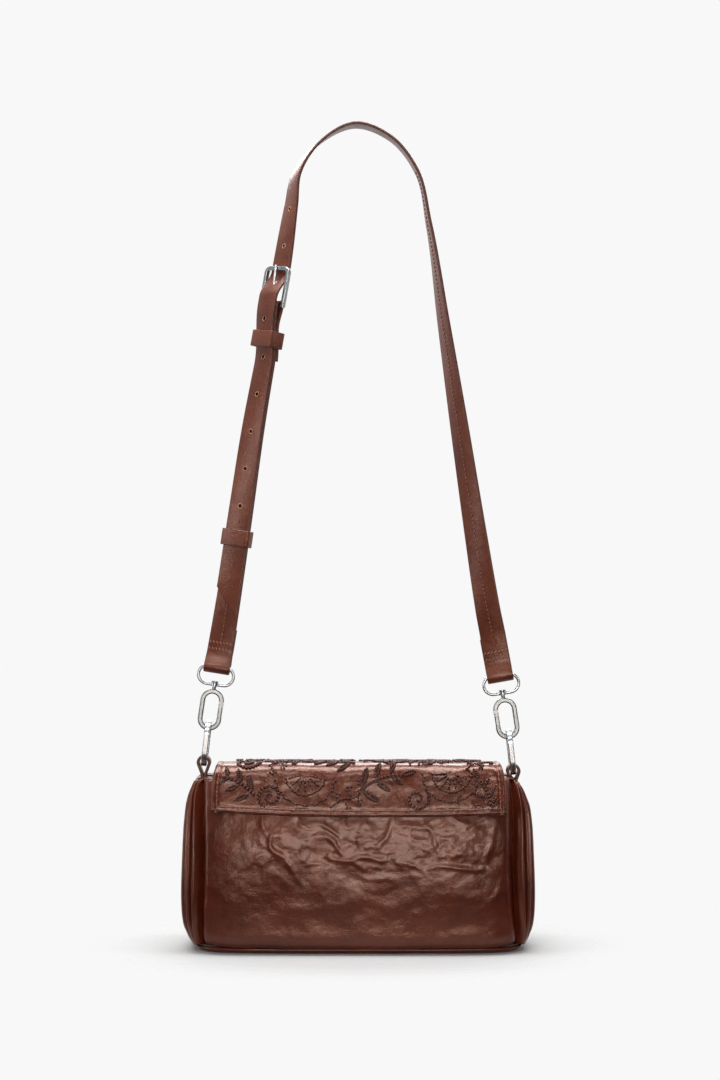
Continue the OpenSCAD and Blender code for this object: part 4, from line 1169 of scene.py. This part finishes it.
def short_strap():
    """The buckle strap: folded round the left swivel ring, up to the buckle's heel bar and back down."""
    low = [station(s, -3 * LAYER_N, -1) for s in samples(FOLD_L, FOLD_CLOSE)]
    low += [station(u, -LAYER_N - fold_front(u), -1) for u in CLOSING]
    front = []
    for k in (1, 2, 3):
        u = FOLD_CLOSE * k / 4
        front.append(station(u, fold_front(u) * (1 - k / 4) - LAYER_N * k / 4))
    front += [station(s, short_n(s)) for s in samples(FOLD_CLOSE, HEEL_S - 1)]
    heel = half_turn(HEEL_S, BUCKLE_N, HEEL_R, 1)[1:-1]
    back = [station(s, back_short_n(s), -1) for s in samples(HEEL_S - 1, HEEL_S - HEEL_BACK_L)]
    line = low + half_turn(0, 0, FOLD_R, -1)[::-1] + front + heel + back
    obj = sweep("strap_short_leather", line, STRAP_SECTION, STRAP_SKIN, "strap", edge_from=9.4)
    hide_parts("strap_short")


def band(name, s, n_low, n_high, body, node):
    """A keeper: a closed leather band round the strap's layers."""
    thick = 1.5
    place, direction, normal, width = frame_at(s)
    outline = rounded(STRAP_W + 1.2 + thick, n_high - n_low + thick, 1.4, 5)
    middle = place + normal * ((n_low + n_high) / 2)
    stations = []
    count = len(outline)
    for k in range(count):
        (a, b), (a0, b0), (a1, b1) = outline[k], outline[k - 1], outline[(k + 1) % count]
        t = Vector((a1 - a0, b1 - b0)).normalized()
        stations.append((middle + width * a + normal * b, direction, width * t.y - normal * t.x))
    section = rounded(12.6, thick, 0.6, 3)
    obj = sweep(name, stations, section, STRAP_SKIN, body, closed=True, edge_from=5.9)
    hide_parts(node)


def keepers():
    s = s_at_z(FIXED_KEEPER_Z)
    band("keeper_fixed_leather", s, back_short_n(s - 7) - 1.7, long_n(s + 7) + 1.6, "strap", "keeper_fixed")
    s = s_at_z(SLIDING_KEEPER_Z)
    band("keeper_sliding_leather", s, -LAYER_N - 1.8, LAYER_N + 1.8, "free_keeper", "keeper_sliding")


def strap_stitches():
    threads = Threads()
    face = STRAP_T / 2

    def row_across(s, n, sign):
        place, d, normal, width = frame_at(s)
        for k in range(7):
            at = place + normal * n + width * (-8 + 16 * k / 6)
            threads.stitch(at - width - d * 1.1, at + width + d * 1.1, normal * sign, 1.0)

    def centre_row(s, last, n_of, sign):
        while s < last:
            ends = []
            for at in (s, s + STRAP_STITCH_L):
                place, _, normal, _ = frame_at(at)
                ends.append(place + normal * n_of(at))
            threads.stitch(*ends, frame_at(s)[2] * sign, 0.9)
            s += STRAP_STITCH_PITCH

    def back_n(s):
        return (LAYER_N * ease((s - ROUTE_L + 50) / 20) if s > ROUTE_L - 50 else 0) - face

    for s in CROSS_SEAMS:
        row_across(s, short_n(s) + face, 1)
    centre_row(21, TIP_S + 12, lambda s: short_n(s) + face, 1)
    for s in CROSS_SEAMS:
        row_across(ROUTE_L - s, -LAYER_N - face, -1)
    centre_row(float(KNOTS[11]), ROUTE_L - FOLD_L - 2, back_n, -1)
    obj = threads.build("strap_stitches", thread_brown, "strap")


# Loops and zip

LOOP_X, LOOP_TOP = 118.2, 145.7
LOOP_W, LOOP_T, LOOP_R = 10, 2.2, 5.4
TAPE_HALF_L, TAPE_Z, TAPE_IN, TAPE_W = 111, 128.15, 1.45, 12.9
FACING_HALF_L, FACING_Z, FACING_IN = 117.6, 129.6, 6.4
ZIP_SEAM_Y, ZIP_SEAM_Z, ZIP_PITCH, ZIP_STITCH_L = 8.6, 129.8, 3.2, 2.3


def loops():
    # side, how much lower the loop sits, and how far the gusset dips under it
    for side, body_drop, dip in ((-1, 0.0, 3.5), (1, 6.7, 8.19)):
        foot_z = BODY_TOP - dip + 0.35
        mid_r = LOOP_R - LOOP_T / 2
        bend_z = LOOP_TOP - body_drop - LOOP_R
        neck = max(foot_z + LOOP_T / 2, bend_z - 9)
        leg = LOOP_T / 2 + 0.15
        bend = arc(0, bend_z, mid_r, mid_r, [-25 + 230 * k / 28 for k in range(29)])
        line = [(leg, foot_z - 1.5), (leg, neck)] + bend + [(-leg, neck), (-leg, foot_z - 1.5)]
        stations = []
        for k, (x, z) in enumerate(line):
            x0, z0 = line[max(0, k - 1)]
            x1, z1 = line[min(len(line) - 1, k + 1)]
            d = Vector((x1 - x0, z1 - z0)).normalized()
            stations.append((Vector((side * LOOP_X + x, 0, z)), Vector((0, 1, 0)), Vector((d.y, 0, -d.x))))
        tag = "left" if side < 0 else "right"
        section, skin = rounded(LOOP_W, LOOP_T, 0.7, 3), [body_leather, edge_paint]
        obj = sweep(f"loop_{tag}_leather", stations, section, skin, "bag", edge_from=4.4)
        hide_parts(f"loop_{tag}")
        # the tab that the loop's ends are sewn into
        tab = []
        for up in (-2.5, -0.6, 1.2, 2.0):
            tab.append((Vector((side * LOOP_X, 0, foot_z + up)), Vector((0, 1, 0)), Vector((1, 0, 0))))
        obj = sweep(f"loop_{tag}_tab", tab, rounded(13, 9.5, 2.2, 3), body_leather, "bag")
        threads = Threads()
        for y in (-3.6, -1.2, 1.2, 3.6):
            for face in (-1, 1):
                x, z = side * LOOP_X + face * 2.55, neck - 0.4
                threads.stitch((x, y - 0.8, z), (x, y + 0.8, z), (face, 0, 0), 0.6)
        threads.build(f"loop_{tag}_stitches", thread_brown, "bag")


def zip_parts():
    for side, tag in ((-1, "back"), (1, "front")):

        def tape(i, j):
            x, y = TAPE_HALF_L * (-1 + 2 * i / 89), side * (TAPE_IN + TAPE_W * j / 5)
            return x, y, TAPE_Z + 0.12 * fractal(x / 12, y / 6, 2)

        def facing(i, j):
            x, v = FACING_HALF_L * (-1 + 2 * i / 119), j / 11
            far = max(7.6, face_y(x, 129) - 2.6)
            y = FACING_IN + (far - FACING_IN) * v
            fold = 0.35 * bell(v, 0.08)
            return x, side * y, FACING_Z + fold + 0.18 * fractal(x / 15, y / 7, 6)

        obj = shell(f"zip_tape_{tag}_cloth", grid(90, 6, tape), 0.7, tape_cloth, "bag", toward=(0, 0, 1))
        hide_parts(f"zip_tape_{tag}")
        P = grid(120, 12, facing)
        obj = shell(f"zip_facing_{tag}_leather", P, 1.2, body_leather, "bag", toward=(0, 0, 1))
        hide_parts(f"zip_facing_{tag}")
    threads = Threads()
    for y in (-ZIP_SEAM_Y, ZIP_SEAM_Y):
        x = -112.0
        while x < 112:
            threads.stitch((x, y, ZIP_SEAM_Z), (x + ZIP_STITCH_L, y, ZIP_SEAM_Z), (0, 0, 1), 0.6)
            x += ZIP_PITCH
    threads.build("zip_stitches", thread_brown, "bag")


def dress_metal():
    """The hard CAD parts stay as they are, and get their metal and softened edges."""
    zips = ["zip_teeth_back", "zip_teeth_front", "zip_stops", "zip_slider", "zip_pull"]
    names = zips + ["snap_socket", "snap_stud", "buckle_frame", "buckle_prong"]
    for part in ("link_ring", "hook", "gate", "gate_pin", "swivel_ring"):
        names += [f"{part}_left", f"{part}_right"]
    for name in names:
        obj = nodes[name]
        # hooks and gates take the darker nickel, painted shade on the same metal as the rings
        mat = zip_metal if name in zips else hook_nickel_painted_shade if name.startswith(("hook", "gate")) else nickel
        if not obj.material_slots:
            obj.data.materials.append(mat)
        for slot in obj.material_slots:
            slot.material = mat
        if name.startswith(("link_ring", "hook", "buckle_frame", "swivel_ring")):
            bevel = obj.modifiers.new("edge_break", "BEVEL")
            bevel.width, bevel.segments = 0.22 * MM, 2
            bevel.limit_method, bevel.angle_limit = "ANGLE", radians(40)


# Studio


def camera():
    data = bpy.data.cameras.new("camera")
    data.sensor_fit = "VERTICAL"
    data.angle = radians(28.95)
    data.clip_start = 0.05
    eye = new_object("camera", data)
    eye.location = (0.00107, -1.6, 0.310)
    eye.rotation_euler = (radians(90), 0, 0)
    bpy.context.scene.camera = eye


def floor():
    """A grey floor that fades into the backdrop's colour away from the object."""
    m = Material("floor")
    m.tree.nodes.remove(m.shader)
    diffuse = m.add("ShaderNodeBsdfDiffuse", Color=(0.435, 0.435, 0.435, 1))
    clear = m.add("ShaderNodeBsdfTransparent")
    mix = m.add("ShaderNodeMixShader")
    length = m.add("ShaderNodeVectorMath", operation="LENGTH")
    m.place(length, (4.4, 7.5, 1))
    fade = m.range(length, "Value", 1.0, 0.0, 0.5, 1.05)
    fade.interpolation_type = "SMOOTHSTEP"
    m.link(fade, "Result", mix, "Fac")
    m.link(clear, "BSDF", mix, 1)
    m.link(diffuse, "BSDF", mix, 2)
    m.link(mix, "Shader", m.out, "Surface")
    bpy.ops.mesh.primitive_plane_add(size=6, location=(0, 0, -0.0004))
    plane = bpy.context.object
    plane.name = "floor"
    plane.data.materials.append(m.mat)


def backdrop():
    """The camera sees one even grey, and all other rays a gradient that is dark in front."""
    world = bpy.data.worlds.new("studio")
    bpy.context.scene.world = world
    w = Tree(world)
    out = w.add("ShaderNodeOutputWorld")
    seen = w.add("ShaderNodeBackground", Color=srgb(248, 248, 248))
    lit = w.add("ShaderNodeBackground", Color=(1, 1, 1, 1))
    coords = w.add("ShaderNodeTexCoord")
    split = w.add("ShaderNodeSeparateXYZ")
    mix = w.add("ShaderNodeMixShader")
    path = w.add("ShaderNodeLightPath")
    either = w.add("ShaderNodeMath", operation="MAXIMUM")
    w.link(coords, "Generated", split, "Vector")
    w.link(w.range(split, "Y", 0.05, 0.9, -0.1, 0.6), "Result", lit, "Strength")
    w.link(path, "Is Camera Ray", either, 0)
    w.link(path, "Is Transmission Ray", either, 1)
    w.link(either, 0, mix, "Fac")
    w.link(lit, "Background", mix, 1)
    w.link(seen, "Background", mix, 2)
    w.link(mix, "Shader", out, "Surface")


def lights():
    """Softboxes: name, place and target in metres, size, power in watts, colour."""
    white, warm = (1.0, 1.0, 1.0), (1.0, 0.87, 0.8)
    for name, at, target, size, power, colour in (
        ("top_softbox", (0.0, -0.05, 1.5), (0, 0, 0.1), (1.6, 0.4), 36, white),
        ("key_softbox", (-0.35, -1.6, 1.7), (0, 0, 0.2), (0.7, 0.4), 12, white),
        ("front_softbox", (0.06, -2.4, 0.33), (0.05, 0, 0.2), (1.1, 0.26), 20, warm),
        ("left_panel", (-1.6, -0.7, 0.6), (0, 0, 0.3), (0.4, 1.3), 8, white),
        ("right_panel", (1.6, -0.5, 0.6), (0, 0, 0.3), (0.4, 1.3), 3, white),
        ("back_softbox", (0.0, 1.5, 1.2), (0, 0, 0.15), (1.6, 0.6), 20, white),
    ):
        light = bpy.data.lights.new(name, "AREA")
        light.color = colour
        light.shape = "RECTANGLE"
        light.size, light.size_y = size
        light.energy = power
        obj = new_object(name, light)
        obj.location = at
        obj.rotation_euler = (Vector(target) - Vector(at)).to_track_quat("-Z", "Y").to_euler()


for part_side in (-1, 1):
    panel(part_side)
    gusset(part_side)
base_and_board()
lining()
slip_pocket()
flap()
flap_linings()
long_strap()
short_strap()
keepers()
strap_stitches()
loops()
zip_parts()
dress_metal()
camera()
floor()
backdrop()
lights()
bpy.context.scene.view_settings.view_transform = "Standard"
